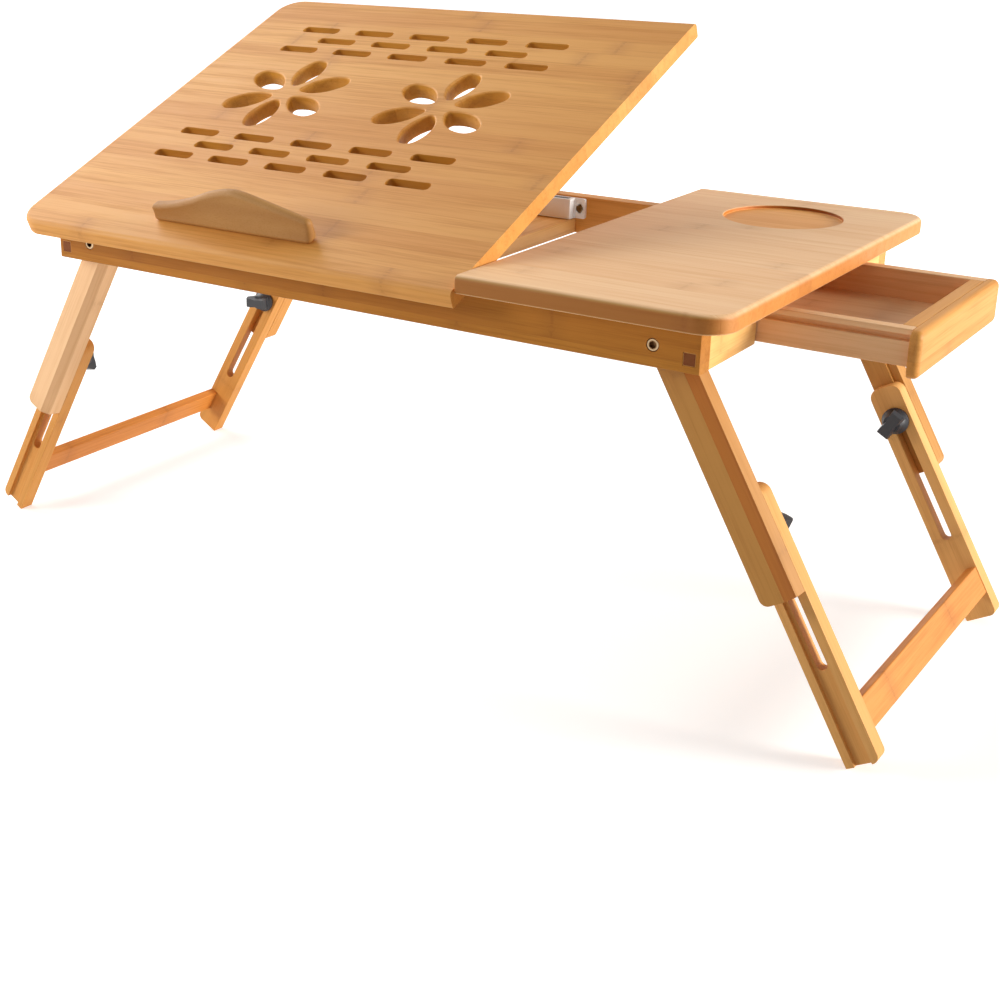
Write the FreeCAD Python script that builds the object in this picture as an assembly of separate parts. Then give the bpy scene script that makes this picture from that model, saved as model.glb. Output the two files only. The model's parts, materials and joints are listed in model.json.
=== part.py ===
# Folding bamboo laptop table with a tilting top and a side drawer.
# Units are millimetres. +X points to the drawer end, -Y to the user, +Z up, and the feet stand on z = 0.
# Everything is drawn in the pose it is stored in: legs splayed and run out, top tilted, drawer half open.
import FreeCAD, Part
import math
import os

from FreeCAD import Vector

X_AXIS = Vector(1, 0, 0)
Y_AXIS = Vector(0, 1, 0)
Z_AXIS = Vector(0, 0, 1)

# ---- driving dimensions ----
BOARD_LENGTH = 550.0
BOARD_DEPTH = 350.0
BOARD_THICK = 11.5
BOARD_CORNER = 20.0
EDGE_ROUND = 3.5
SEAM_X = 101.5
SEAM_GAP = 1.0

FRAME_LENGTH = 507.0
FRAME_DEPTH = 310.0
RAIL_THICK = 13.0
APRON_HEIGHT = 28.9

LEG_WIDTH = 22.5
UPPER_THICK = 14.0
LOWER_THICK = 11.8
PIVOT_X = 224.0
PIVOT_DROP = 27.2  # below the top of the board
SPLAY = 30.0
UPPER_REACH = 167.0  # pivot to the end of the upper leg
LOWER_TOP = 99.4  # pivot to the top of the lower leg, run out
FOOT_REACH = 277.0  # pivot to the foot
STUD_REACH = 124.5  # pivot to the clamping stud
LEG_TRAVEL = 88.0
LEG_GAP = 0.5  # apron to upper leg
STOP_GAP = 0.4  # open leg to the bevel of the end rail
SLIDE_GAP = 0.25  # upper leg to lower leg

TILT = 22.7
DRAWER_OPEN = 92.0

# ---- board pattern ----
PATTERN_X = -101.0
PATTERN_Y = 28.0
SLOT_LENGTH = 35.4
SLOT_WIDTH = 8.8
SLOT_CORNER = 2.0
SLOT_PITCH = 52.5
SLOT_ROW_PITCH = 16.2
SLOT_BAND_OFFSET = 81.8
FLOWER_OFFSET = 70.5
PETAL_COUNT = 6
PETAL_TIP = 15.0
PETAL_HEAD = 42.0
PETAL_TIP_R = 3.5
PETAL_HEAD_R = 8.0
PETAL_SIDE_R = 25.0
PETAL_RIM = 1.2
CUP_X = 194.0
CUP_Y = 106.0
CUP_RADIUS = 41.0
CUP_DEPTH = 2.5

# ---- tilt hinges and prop ----
PIN_RADIUS = 1.0
PIN_FIT = 0.05
KNUCKLE_RADIUS = 2.4
KNUCKLE_LENGTH = 7.8
KNUCKLE_GAP = 0.3
LEAF_THICK = 1.2
LEAF_LENGTH = 13.0
LEAF_SINK = 0.15
PIN_DROP = 2.5  # hinge pins below the underside of the board
PIN_SETBACK = 4.5  # tilt pins behind the front face of the apron
LIP_SLOPE = 0.68  # fall of the apron's planed edge, just steeper than the top's steepest tilt
HINGE_XS = (-215.0, 45.0)
PROP_X = -11.0
PROP_WIDTH = 36.0
PROP_THICK = 8.0
PROP_FROM_PIN = 122.5  # tilt pin to prop pin, along the board
PROP_LENGTH = 78.38  # prop pin to the centre of the round foot
PROP_ANGLE = 46.0  # prop below the horizontal
PROP_OFFSET = 2.0  # prop pin above the middle of the prop

RACK_X0 = -33.0
RACK_X1 = 11.0
RACK_THICK = 11.3
NOTCH_COUNT = 5
NOTCH_PITCH = 11.0
NOTCH_RADIUS = 4.3
NOTCH_DEPTH = 3.0

# ---- drawer ----
DRAWER_HALF = 75.0
DRAWER_WALL = 8.5
DRAWER_TOP_DROP = 16.5
DRAWER_BOTTOM_DROP = 38.7
DRAWER_BACK_X = 104.0
DRAWER_FLOOR = 3.0
FRONT_THICK = 7.0
FRONT_HALF = 79.3
FRONT_BOTTOM_DROP = 45.0
OPENING_HALF = 76.0
GROOVE_TOP_DROP = 20.0
GROOVE_HEIGHT = 3.7
GROOVE_DEPTH = 4.0
RUNNER_THICK = 8.0
RUNNER_GAP = 0.2

# ---- fittings ----
BOLT_RADIUS = 3.0
HEAD_RADIUS = 3.9
HEAD_THICK = 1.6
NUT_RADIUS = 5.0
NUT_THICK = 4.0
HEX_ACROSS = 4.0
TENON = 8.0
TENON_DROP = 32.0
TONGUE_HALF = 5.4
TONGUE_RISE = 2.7
GROOVE_HALF = 5.7
LEG_GROOVE = 3.0
SLOT_HALF = 3.5
STRETCHER_TOP = 240.0
STRETCHER_WIDTH = 20.0
STRETCHER_THICK = 7.5
STRETCHER_INSET = 0.5  # behind the legs' outer edge
LEG_CROWN = 7.0
FOOT_ROUND = 5.0
KNOB_RADIUS = 10.0
KNOB_BASE = 4.0
KNOB_HEIGHT = 15.0
WING_LENGTH = 22.0
WING_THICK = 7.0
WING_TURNS = {"front": 50.0, "back": 17.0}
INSERT_RADIUS = 4.2
INSERT_LENGTH = 9.5
CATCH_X0 = -29.0
CATCH_X1 = 11.0
CATCH_DEPTH = 10.5
CATCH_TOP_DROP = 12.7
CATCH_BOTTOM_DROP = 28.3
CATCH_EAR = 9.0
CATCH_EAR_THICK = 3.0

# ---- stop ledge: outline of its wave, as (place along the ledge, height) ----
LEDGE_LEFT = -157.0
LEDGE_FRONT = -152.5
LEDGE_THICK = 10.5
LEDGE_COVE = 66.0
LEDGE_LEAN = 3.0
LEDGE_WAVE = (
    (0, 11.5), (17, 14), (37, 19.5), (54, 26), (70, 30),
    (80, 30.5), (92, 28), (112, 22.5), (130, 17.5), (137, 15.5),
)
PEG_RADIUS = 3.0
PEG_FIT = 0.08
PEG_LENGTH = 7.5  # in the panel, and again in the ledge
PEG_PLACES = (30.0, 110.0)

# ---- places worked out from the driving dimensions ----
splay = math.radians(SPLAY)
tilt = math.radians(TILT)
FOOT_DROP = FOOT_REACH * math.cos(splay) + LEG_WIDTH / 2 * math.sin(splay)
TOP_Z = PIVOT_DROP + FOOT_DROP
UNDER_Z = TOP_Z - BOARD_THICK
APRON_Z = UNDER_Z - APRON_HEIGHT
PIVOT_Z = TOP_Z - PIVOT_DROP
FRONT_Y = -FRAME_DEPTH / 2
RAIL_Y = FRONT_Y + RAIL_THICK
END_X = FRAME_LENGTH / 2
UPPER_Y = RAIL_Y + LEG_GAP
LOWER_Y = UPPER_Y + UPPER_THICK + SLIDE_GAP
LEG_IN_Y = LOWER_Y + LOWER_THICK
PIN_Y = FRONT_Y + PIN_SETBACK
PEG_Y = LEDGE_FRONT + LEDGE_THICK / 2 + 1.0
PIN_Z = UNDER_Z - PIN_DROP
PROP_PIN_Y = PIN_Y + PROP_FROM_PIN
KNUCKLE_STEP = KNUCKLE_LENGTH + KNUCKLE_GAP
HINGE_HALF = 1.5 * KNUCKLE_STEP
RACK_TOP = TOP_Z - 40.2 + RACK_THICK
RUNNER_Y = -OPENING_HALF - 0.5


def box(x0, x1, y0, y1, z0, z1):
    return Part.makeBox(x1 - x0, y1 - y0, z1 - z0, Vector(x0, y0, z0))


def rod(radius, start, direction, length):
    return Part.makeCylinder(radius, length, start, direction)


def prism(points, direction):
    """A closed polygon of vectors, pushed along a direction."""
    wire = Part.makePolygon(list(points) + [points[0]])
    return Part.Face(wire).extrude(direction)


def turned(shape, centre, axis, degrees):
    copy = shape.copy()
    copy.rotate(centre, axis, degrees)
    return copy


def mirrored_y(shape):
    return shape.mirror(Vector(0, 0, 0), Y_AXIS)


def edges_where(shape, test):
    return [edge for edge in shape.Edges if test(edge)]


def along(edge, axis):
    """True for a straight edge that runs along an axis."""
    if not isinstance(edge.Curve, (Part.Line, Part.LineSegment)):
        return False
    return abs(abs(edge.tangentAt(edge.FirstParameter).dot(axis)) - 1) < 1e-6


def rounded_bar(x0, x1, y0, y1, z0, z1, axis, radius):
    """A bar with its four long edges rounded."""
    bar = box(x0, x1, y0, y1, z0, z1)
    return bar.makeFillet(radius, edges_where(bar, lambda edge: along(edge, axis)))


# ---- board ----
def whole_board():
    half_x, half_y = BOARD_LENGTH / 2, BOARD_DEPTH / 2
    board = box(-half_x, half_x, -half_y, half_y, UNDER_Z, TOP_Z)
    board = board.makeFillet(BOARD_CORNER, edges_where(board, lambda edge: along(edge, Z_AXIS)))
    rim = [edge for edge in board.Edges if all(abs(v.Z - TOP_Z) < 1e-6 for v in edge.Vertexes)]
    board = board.makeFillet(EDGE_ROUND, rim)
    foot = [edge for edge in board.Edges if all(abs(v.Z - UNDER_Z) < 1e-6 for v in edge.Vertexes)]
    return board.makeChamfer(1.0, foot)


def board_slot(x, y):
    """One ventilation slot, right through the board; x is its left end."""
    half = SLOT_WIDTH / 2
    slot = box(x, x + SLOT_LENGTH, y - half, y + half, UNDER_Z - 1, TOP_Z + 1)
    return slot.makeFillet(SLOT_CORNER, edges_where(slot, lambda edge: along(edge, Z_AXIS)))


def slot_bands():
    """Two bands of slots, each of rows of five, four and five, like brickwork."""
    cuts = []
    first = PATTERN_X - (4 * SLOT_PITCH + SLOT_LENGTH) / 2
    for band in (-1, 1):
        for row in (-1, 0, 1):
            y = PATTERN_Y + band * SLOT_BAND_OFFSET + row * SLOT_ROW_PITCH
            shift = SLOT_PITCH / 2 if row == 0 else 0.0
            count = 4 if row == 0 else 5
            cuts += [board_slot(first + shift + n * SLOT_PITCH, y) for n in range(count)]
    return cuts


def petal():
    """A leaf along +X: a small and a large end circle, joined by swelling side arcs that touch both."""
    low = UNDER_Z - 1
    span = PETAL_HEAD - PETAL_TIP
    to_tip = PETAL_SIDE_R - PETAL_TIP_R
    to_head = PETAL_SIDE_R - PETAL_HEAD_R
    middle = (to_tip ** 2 - to_head ** 2 + span ** 2) / (2 * span)
    drop = math.sqrt(to_tip ** 2 - middle ** 2)

    def touching(centre, radius, side):
        out = Vector(centre - PETAL_TIP - middle, side * drop, 0).normalize()
        return Vector(centre, 0, low) + out * radius

    def swelling(side):
        return Vector(PETAL_TIP + middle, side * (PETAL_SIDE_R - drop), low)

    tip_a, tip_b = (touching(PETAL_TIP, PETAL_TIP_R, side) for side in (-1, 1))
    head_a, head_b = (touching(PETAL_HEAD, PETAL_HEAD_R, side) for side in (-1, 1))
    tip_end = Vector(PETAL_TIP - PETAL_TIP_R, 0, low)
    head_end = Vector(PETAL_HEAD + PETAL_HEAD_R, 0, low)
    wire = Part.Wire([
        Part.Arc(tip_b, tip_end, tip_a).toShape(),
        Part.Arc(tip_a, swelling(-1), head_a).toShape(),
        Part.Arc(head_a, head_end, head_b).toShape(),
        Part.Arc(head_b, swelling(1), tip_b).toShape(),
    ])
    return Part.Face(wire).extrude(Vector(0, 0, BOARD_THICK + 2))


def flowers():
    cuts = []
    for side in (-1, 1):
        centre = Vector(PATTERN_X + side * FLOWER_OFFSET, PATTERN_Y, 0)
        for n in range(PETAL_COUNT):
            leaf = turned(petal(), Vector(0, 0, 0), Z_AXIS, 30 + n * 360 / PETAL_COUNT)
            leaf.translate(centre)
            cuts.append(leaf)
    return cuts


def is_petal_rim(edge):
    """True for the upper rim of a petal cut through the board."""
    room = edge.BoundBox
    level = room.ZMin > TOP_Z - 1e-4 and room.ZMax < TOP_Z + 1e-4
    centre = room.Center
    return level and abs(centre.x - PATTERN_X) < 130 and abs(centre.y - PATTERN_Y) < 55


def tilt_panel():
    left = box(-BOARD_LENGTH, SEAM_X - SEAM_GAP / 2, -BOARD_DEPTH, BOARD_DEPTH, 0, TOP_Z + 1)
    panel = whole_board().common(left).cut(slot_bands() + flowers())
    panel = panel.makeChamfer(PETAL_RIM, edges_where(panel, is_petal_rim))
    cuts = []
    y0, y1 = PIN_Y - 1.2, PIN_Y + LEAF_LENGTH
    for x in HINGE_XS:
        cuts.append(box(x - HINGE_HALF, x + HINGE_HALF, y0, y1, UNDER_Z - 1, UNDER_Z + LEAF_THICK))
    for place in PEG_PLACES:
        mouth = Vector(LEDGE_LEFT + place, PEG_Y, TOP_Z + 1)
        cuts.append(rod(PEG_RADIUS + PEG_FIT, mouth, -Z_AXIS, PEG_LENGTH + 1.5))
    return panel.cut(cuts)


def fixed_panel():
    right = box(SEAM_X + SEAM_GAP / 2, BOARD_LENGTH, -BOARD_DEPTH, BOARD_DEPTH, 0, TOP_Z + 1)
    cup = rod(CUP_RADIUS, Vector(CUP_X, CUP_Y, TOP_Z - CUP_DEPTH), Z_AXIS, CUP_DEPTH + 1)
    return whole_board().common(right).cut(cup)


# ---- frame ----
def pivot_bore(x):
    """The bolt's bore through the front apron, with a counterbore for its head."""
    bore = rod(BOLT_RADIUS, Vector(x, FRONT_Y - 1, PIVOT_Z), Y_AXIS, RAIL_THICK + 2)
    seat = rod(HEAD_RADIUS + 0.2, Vector(x, FRONT_Y - 1, PIVOT_Z), Y_AXIS, HEAD_THICK + 1)
    return bore.fuse(seat)


def mortise(x):
    half = TENON / 2
    z = TOP_Z - TENON_DROP
    return box(x - half, x + half, FRONT_Y - 1, RAIL_Y + 1, z - half, z + half)


def plain_apron():
    apron = rounded_bar(-END_X, END_X, FRONT_Y, RAIL_Y, APRON_Z, UNDER_Z, X_AXIS, 1.0)
    end = END_X - RAIL_THICK / 2
    return apron.cut([pivot_bore(-PIVOT_X), pivot_bore(PIVOT_X), mortise(-end), mortise(end)])


def front_apron():
    """The front rail: planed off under the tilting panel's lip, with pockets for the hinge knuckles."""
    seam = SEAM_X - SEAM_GAP / 2
    start, outer = PIN_Y + 0.3, FRONT_Y - 1
    fall = (start - outer) * LIP_SLOPE
    corner = [(start, UNDER_Z), (start, UNDER_Z + 1), (outer, UNDER_Z + 1), (outer, UNDER_Z - fall)]
    points = [Vector(-END_X - 1, y, z) for y, z in corner]
    cuts = [prism(points, Vector(seam + END_X + 1, 0, 0))]
    leaf_floor = UNDER_Z - LEAF_SINK - LEAF_THICK
    for x in HINGE_XS:
        x0, x1 = x - HINGE_HALF, x + HINGE_HALF
        floor = PIN_Z - KNUCKLE_RADIUS - 0.5
        cuts.append(box(x0 - 0.4, x1 + 0.4, PIN_Y - 3, PIN_Y + 3.2, floor, UNDER_Z + 1))
        cuts.append(box(x0, x1, PIN_Y, RAIL_Y + 1, leaf_floor, UNDER_Z + 1))
    return plain_apron().cut(cuts)


def rail_bevel(y0, y1):
    """The wedge planed off an end rail's inner lower edge, along the outer edge of an open leg."""
    reach = (LEG_WIDTH / 2 + STOP_GAP) / math.cos(splay)
    inner = END_X - RAIL_THICK
    top = PIVOT_Z - (inner - PIVOT_X - reach) / math.tan(splay)
    low = APRON_Z - 1
    low_x = PIVOT_X + reach + (PIVOT_Z - low) * math.tan(splay)
    slope = (low_x - inner) / (top - low)
    outline = [(inner - slope, top + 1), (low_x, low), (inner - slope, low)]
    points = [Vector(x, y0 - 1, z) for x, z in outline]
    return prism(points, Vector(0, y1 - y0 + 2, 0))


def end_rail(side_x, y0, y1, tenons):
    inner, outer = END_X - RAIL_THICK, END_X
    rail = rounded_bar(inner, outer, y0, y1, APRON_Z, UNDER_Z, Y_AXIS, 1.0).cut(rail_bevel(y0, y1))
    half = TENON / 2
    x = END_X - RAIL_THICK / 2
    z = TOP_Z - TENON_DROP
    for side_y in tenons:
        start, end = sorted((side_y * -RAIL_Y, side_y * -FRONT_Y))
        rail = rail.fuse(box(x - half, x + half, start, end, z - half, z + half))
    return rail if side_x > 0 else rail.mirror(Vector(0, 0, 0), X_AXIS)


def notch_rack():
    """The flat board across the frame, with the notches that the prop's foot stands in."""
    rack = box(RACK_X0, RACK_X1, RAIL_Y, -RAIL_Y, RACK_TOP - RACK_THICK, RACK_TOP)
    first = prop_foot().y - 2 * NOTCH_PITCH
    z = RACK_TOP + NOTCH_RADIUS - NOTCH_DEPTH
    cuts = []
    for n in range(NOTCH_COUNT):
        start = Vector(RACK_X0 - 1, first + n * NOTCH_PITCH, z)
        cuts.append(rod(NOTCH_RADIUS, start, X_AXIS, RACK_X1 - RACK_X0 + 2))
    return rack.cut(cuts)


def runner():
    """The batten that the front side of the drawer hangs on: a web, and a tongue for the drawer's groove."""
    x0, x1 = DRAWER_BACK_X + 2, END_X - RAIL_THICK
    tongue_top = TOP_Z - GROOVE_TOP_DROP - RUNNER_GAP
    tongue_low = TOP_Z - GROOVE_TOP_DROP - GROOVE_HEIGHT + RUNNER_GAP
    web = box(x0, x1, RUNNER_Y - RUNNER_THICK, RUNNER_Y, tongue_low - 3, UNDER_Z)
    tongue = box(x0, x1, RUNNER_Y - 1, -DRAWER_HALF + GROOVE_DEPTH - 0.5, tongue_low, tongue_top)
    return web.fuse(tongue).removeSplitter()


# ---- hinges ----
def hinge_steps(places):
    """Where the knuckles of a leaf start along the pin, from the middle of a hinge of three knuckles."""
    return [(place - 1.5) * KNUCKLE_STEP + KNUCKLE_GAP / 2 for place in places]


def hinge_leaf(x, y, places, plate, bore_radius):
    """A leaf with knuckles at some of a hinge's three places, cut away at the others and bored."""
    others = [place for place in (0, 1, 2) if place not in places]
    reach = KNUCKLE_RADIUS + 0.8
    knuckles = []
    for start in hinge_steps(places):
        knuckles.append(rod(KNUCKLE_RADIUS, Vector(x + start, y, PIN_Z), X_AXIS, KNUCKLE_LENGTH))
    gaps = []
    for start in hinge_steps(others):
        x0 = x + start - KNUCKLE_GAP
        x1 = x + start + KNUCKLE_LENGTH + KNUCKLE_GAP
        gaps.append(box(x0, x1, y - reach, y + reach, PIN_Z - 5, PIN_Z + 5))
    bore = rod(bore_radius, Vector(x - 2 * KNUCKLE_STEP, y, PIN_Z), X_AXIS, 4 * KNUCKLE_STEP)
    return plate.cut(gaps).fuse(knuckles).cut(bore).removeSplitter()


def hinge_pin(x, y):
    return rod(PIN_RADIUS, Vector(x - 1.5 * KNUCKLE_STEP, y, PIN_Z), X_AXIS, 3 * KNUCKLE_STEP)


def fixed_leaves():
    """The leaves let into the top of the front apron, with the two outer knuckles of each hinge."""
    leaves = []
    top = UNDER_Z - LEAF_SINK
    for x in HINGE_XS:
        plate = box(x - HINGE_HALF, x + HINGE_HALF, PIN_Y, RAIL_Y, top - LEAF_THICK, top)
        leaves.append(hinge_leaf(x, PIN_Y, (0, 2), plate, PIN_RADIUS))
    return Part.makeCompound(leaves)


def moving_leaves():
    """The leaves let into the underside of the tilting panel, each with the middle knuckle on a short web."""
    leaves = []
    half = KNUCKLE_LENGTH / 2
    for x in HINGE_XS:
        x0, x1 = x - HINGE_HALF, x + HINGE_HALF
        plate = box(x0, x1, PIN_Y - 1.2, PIN_Y + LEAF_LENGTH, UNDER_Z, UNDER_Z + LEAF_THICK)
        web = box(x - half, x + half, PIN_Y - 1.2, PIN_Y + 1.2, PIN_Z, UNDER_Z + 0.5)
        knuckle = rod(KNUCKLE_RADIUS, Vector(x - half, PIN_Y, PIN_Z), X_AXIS, KNUCKLE_LENGTH)
        bore = rod(PIN_RADIUS + PIN_FIT, Vector(x - HINGE_HALF, PIN_Y, PIN_Z), X_AXIS, 2 * HINGE_HALF)
        leaves.append(plate.fuse([web, knuckle]).cut(bore).removeSplitter())
    return Part.makeCompound(leaves)


# ---- prop ----
def prop_board():
    """The prop, drawn folded flat under the board, pointing at the user, with a round foot."""
    x0, x1 = PROP_X - PROP_WIDTH / 2, PROP_X + PROP_WIDTH / 2
    middle = PIN_Z - PROP_OFFSET
    foot_y = PROP_PIN_Y - PROP_LENGTH
    half = PROP_THICK / 2
    plate = box(x0, x1, foot_y, PROP_PIN_Y - KNUCKLE_RADIUS - 0.8, middle - half, middle + half)
    foot = rod(half, Vector(x0, foot_y, middle), X_AXIS, PROP_WIDTH)
    top = middle + half
    leaf_x0, leaf_x1 = PROP_X - HINGE_HALF, PROP_X + HINGE_HALF
    recess = box(leaf_x0, leaf_x1, PROP_PIN_Y - LEAF_LENGTH, PROP_PIN_Y, top - LEAF_THICK, top + 1)
    return plate.fuse(foot).removeSplitter().cut(recess)


def prop_leaf():
    """The leaf let into the top of the prop, with the middle knuckle."""
    top = PIN_Z - PROP_OFFSET + PROP_THICK / 2
    x0, x1 = PROP_X - HINGE_HALF, PROP_X + HINGE_HALF
    plate = box(x0, x1, PROP_PIN_Y - LEAF_LENGTH, PROP_PIN_Y, top - LEAF_THICK, top)
    return hinge_leaf(PROP_X, PROP_PIN_Y, (1,), plate, PIN_RADIUS + PIN_FIT)


def prop_panel_leaf():
    """The leaf under the panel, with the two outer knuckles."""
    x0, x1 = PROP_X - HINGE_HALF, PROP_X + HINGE_HALF
    plate = box(x0, x1, PROP_PIN_Y, PROP_PIN_Y + LEAF_LENGTH, UNDER_Z - LEAF_THICK, UNDER_Z)
    return hinge_leaf(PROP_X, PROP_PIN_Y, (0, 2), plate, PIN_RADIUS)


# ---- stop ledge ----
def ledge_outline():
    points = [Vector(LEDGE_LEFT + x, LEDGE_FRONT, TOP_Z + height) for x, height in LEDGE_WAVE]
    wave = Part.BSplineCurve()
    wave.interpolate(points)
    low_left = Vector(points[0].x, LEDGE_FRONT, TOP_Z)
    low_right = Vector(points[-1].x, LEDGE_FRONT, TOP_Z)
    sides = [
        Part.LineSegment(low_left, points[0]).toShape(),
        wave.toShape(),
        Part.LineSegment(points[-1], low_right).toShape(),
        Part.LineSegment(low_right, low_left).toShape(),
    ]
    return Part.Face(Part.Wire(sides))


def stop_ledge():
    """A wave-topped block whose front is hollowed by a long, flat cove that leans back."""
    block = ledge_outline().extrude(Vector(0, LEDGE_THICK, 0))
    crest = max(height for x, height in LEDGE_WAVE)
    chord = math.hypot(crest, LEDGE_LEAN)
    sag = math.sqrt(LEDGE_COVE ** 2 - (chord / 2) ** 2)
    mid = Vector(0, LEDGE_FRONT + LEDGE_LEAN / 2, TOP_Z + crest / 2)
    normal = Vector(0, -crest / chord, LEDGE_LEAN / chord)
    axis = mid + normal * sag
    cove = rod(LEDGE_COVE, Vector(LEDGE_LEFT - 5, axis.y, axis.z), X_AXIS, 160)
    return block.cut([cove] + peg_rods())


def peg_rods():
    """Two dowels, half in the ledge and half in the panel."""
    tops = [Vector(LEDGE_LEFT + place, PEG_Y, TOP_Z + PEG_LENGTH) for place in PEG_PLACES]
    return [rod(PEG_RADIUS, top, -Z_AXIS, 2 * PEG_LENGTH) for top in tops]


# ---- legs, drawn hanging straight down from a pivot at x = 0, z = 0, as a front leg ----
def upper_leg():
    """Outer face at y = 0: flat, then two bevels towards +x; a tongue stands out of the inner face."""
    half = LEG_WIDTH / 2
    section = [(-half, 0), (3.6, 0), (9.6, 4.6), (half, UPPER_THICK), (-half, UPPER_THICK)]
    points = [Vector(x, y, 0) for x, y in section]
    blank = prism(points, Vector(0, 0, -UPPER_REACH))
    head = rod(half, Vector(0, 0, 0), Y_AXIS, UPPER_THICK)
    top = prism([point + Vector(0, 0, half) for point in points], Vector(0, 0, -half)).common(head)
    tongue = box(-TONGUE_HALF, TONGUE_HALF, UPPER_THICK - 1, UPPER_THICK + TONGUE_RISE, -UPPER_REACH, -14)
    leg = blank.fuse([top, tongue]).removeSplitter()
    corner = edges_where(leg, lambda edge: along(edge, Y_AXIS) and edge.BoundBox.ZMax < -UPPER_REACH + 0.1
                         and edge.BoundBox.XMax < -half + 0.1)
    leg = leg.makeFillet(5.0, corner)
    cuts = [
        rod(BOLT_RADIUS + PIN_FIT, Vector(0, -1, 0), Y_AXIS, UPPER_THICK + 2),
        rod(NUT_RADIUS + 0.4, Vector(0, UPPER_THICK - NUT_THICK - 0.3, 0), Y_AXIS, NUT_THICK + 2),
        rod(BOLT_RADIUS, Vector(0, 3.5, -STUD_REACH), Y_AXIS, UPPER_THICK),
    ]
    return leg.cut(cuts)


def lower_leg(outer):
    """A bar with a groove for the upper leg's tongue and a long slot for the clamping stud.

    The foot is rounded at the leg's outer corner, on the side of x that outer gives.
    """
    half = LEG_WIDTH / 2
    y0 = UPPER_THICK + SLIDE_GAP
    y1 = y0 + LOWER_THICK
    bar = box(-half, half, y0, y1, -FOOT_REACH, -LOWER_TOP)
    tops = edges_where(bar, lambda edge: along(edge, Y_AXIS) and edge.BoundBox.ZMin > -LOWER_TOP - 0.1)
    bar = bar.makeFillet(LEG_CROWN, tops)
    corners = edges_where(bar, lambda edge: along(edge, Y_AXIS) and edge.BoundBox.ZMax < -FOOT_REACH + 0.1)
    foot = [edge for edge in corners if outer * edge.BoundBox.Center.x > 0]
    bar = bar.makeFillet(FOOT_ROUND, foot)
    groove = box(-GROOVE_HALF, GROOVE_HALF, y0 - 1, y0 + LEG_GROOVE, -FOOT_REACH - 1, -LOWER_TOP + 1)
    top = -STUD_REACH + 0.5
    low = -STUD_REACH - LEG_TRAVEL - 0.5
    slot = box(-SLOT_HALF, SLOT_HALF, y0 - 1, y1 + 1, low, top)
    ends = [rod(SLOT_HALF, Vector(0, y0 - 1, z), Y_AXIS, LOWER_THICK + 2) for z in (low, top)]
    return bar.cut([groove, slot.fuse(ends).removeSplitter()])


def clamping_stud():
    length = UPPER_THICK - 3.5 + SLIDE_GAP + LOWER_THICK + INSERT_LENGTH
    return rod(BOLT_RADIUS, Vector(0, 3.5, -STUD_REACH), Y_AXIS, length)


def knob(wing_turn):
    """A wing knob: a round foot, a waist, and a flat grip that widens outwards."""
    y0 = UPPER_THICK + SLIDE_GAP + LOWER_THICK + 0.3
    outline = [(0, 0), (KNOB_RADIUS, 0), (KNOB_RADIUS, KNOB_BASE * 0.6), (KNOB_RADIUS - 1.5, KNOB_BASE),
               (6.5, KNOB_BASE + 3), (5.8, KNOB_HEIGHT - 5), (0, KNOB_HEIGHT - 5)]
    points = [Vector(radius, y0 + height, -STUD_REACH) for radius, height in outline]
    face = Part.Face(Part.makePolygon(points + [points[0]]))
    hub = face.revolve(Vector(0, y0, -STUD_REACH), Y_AXIS, 360)
    low, high, tall = WING_LENGTH * 0.34, WING_LENGTH / 2, KNOB_HEIGHT
    grip = [(low, KNOB_BASE), (high, tall - 4), (high - 3, tall)]
    grip += [(-x, height) for x, height in reversed(grip)]
    side = [Vector(x, y0 + height, -STUD_REACH - WING_THICK / 2) for x, height in grip]
    wing = prism(side, Vector(0, 0, WING_THICK))
    wing = turned(wing, Vector(0, 0, -STUD_REACH), Y_AXIS, wing_turn)
    body = hub.fuse(wing).removeSplitter()
    return body.cut(rod(INSERT_RADIUS, Vector(0, y0 - 1, -STUD_REACH), Y_AXIS, INSERT_LENGTH + 1))


def knob_insert():
    y0 = UPPER_THICK + SLIDE_GAP + LOWER_THICK + 0.3
    tube = rod(INSERT_RADIUS, Vector(0, y0, -STUD_REACH), Y_AXIS, INSERT_LENGTH)
    return tube.cut(rod(BOLT_RADIUS + PIN_FIT, Vector(0, y0 - 1, -STUD_REACH), Y_AXIS, INSERT_LENGTH + 2))


def stretcher(side_x):
    """The bar between the two lower legs of one end, along the legs' outer edge."""
    outer = LEG_WIDTH / 2 - STRETCHER_INSET
    x0, x1 = sorted((side_x * (outer - STRETCHER_THICK), side_x * outer))
    span = -LEG_IN_Y
    bar = rounded_bar(x0, x1, -span, span, -STRETCHER_TOP - STRETCHER_WIDTH, -STRETCHER_TOP, Y_AXIS, 1.0)
    return splayed(bar, side_x)


def splayed(shape, side_x):
    """Swing a straight leg out to its side and carry it to its pivot."""
    leg = turned(shape, Vector(0, 0, 0), Y_AXIS, -side_x * SPLAY)
    leg.translate(Vector(side_x * PIVOT_X, 0, PIVOT_Z))
    return leg


def placed_leg(shape, side_x, side_y):
    """A piece of a front leg, carried to its corner; the back legs are the same pieces turned round."""
    leg = shape.copy()
    leg.translate(Vector(0, UPPER_Y, 0))
    if side_y > 0:
        leg.rotate(Vector(0, 0, 0), Z_AXIS, 180)
    return splayed(leg, side_x)


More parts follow.
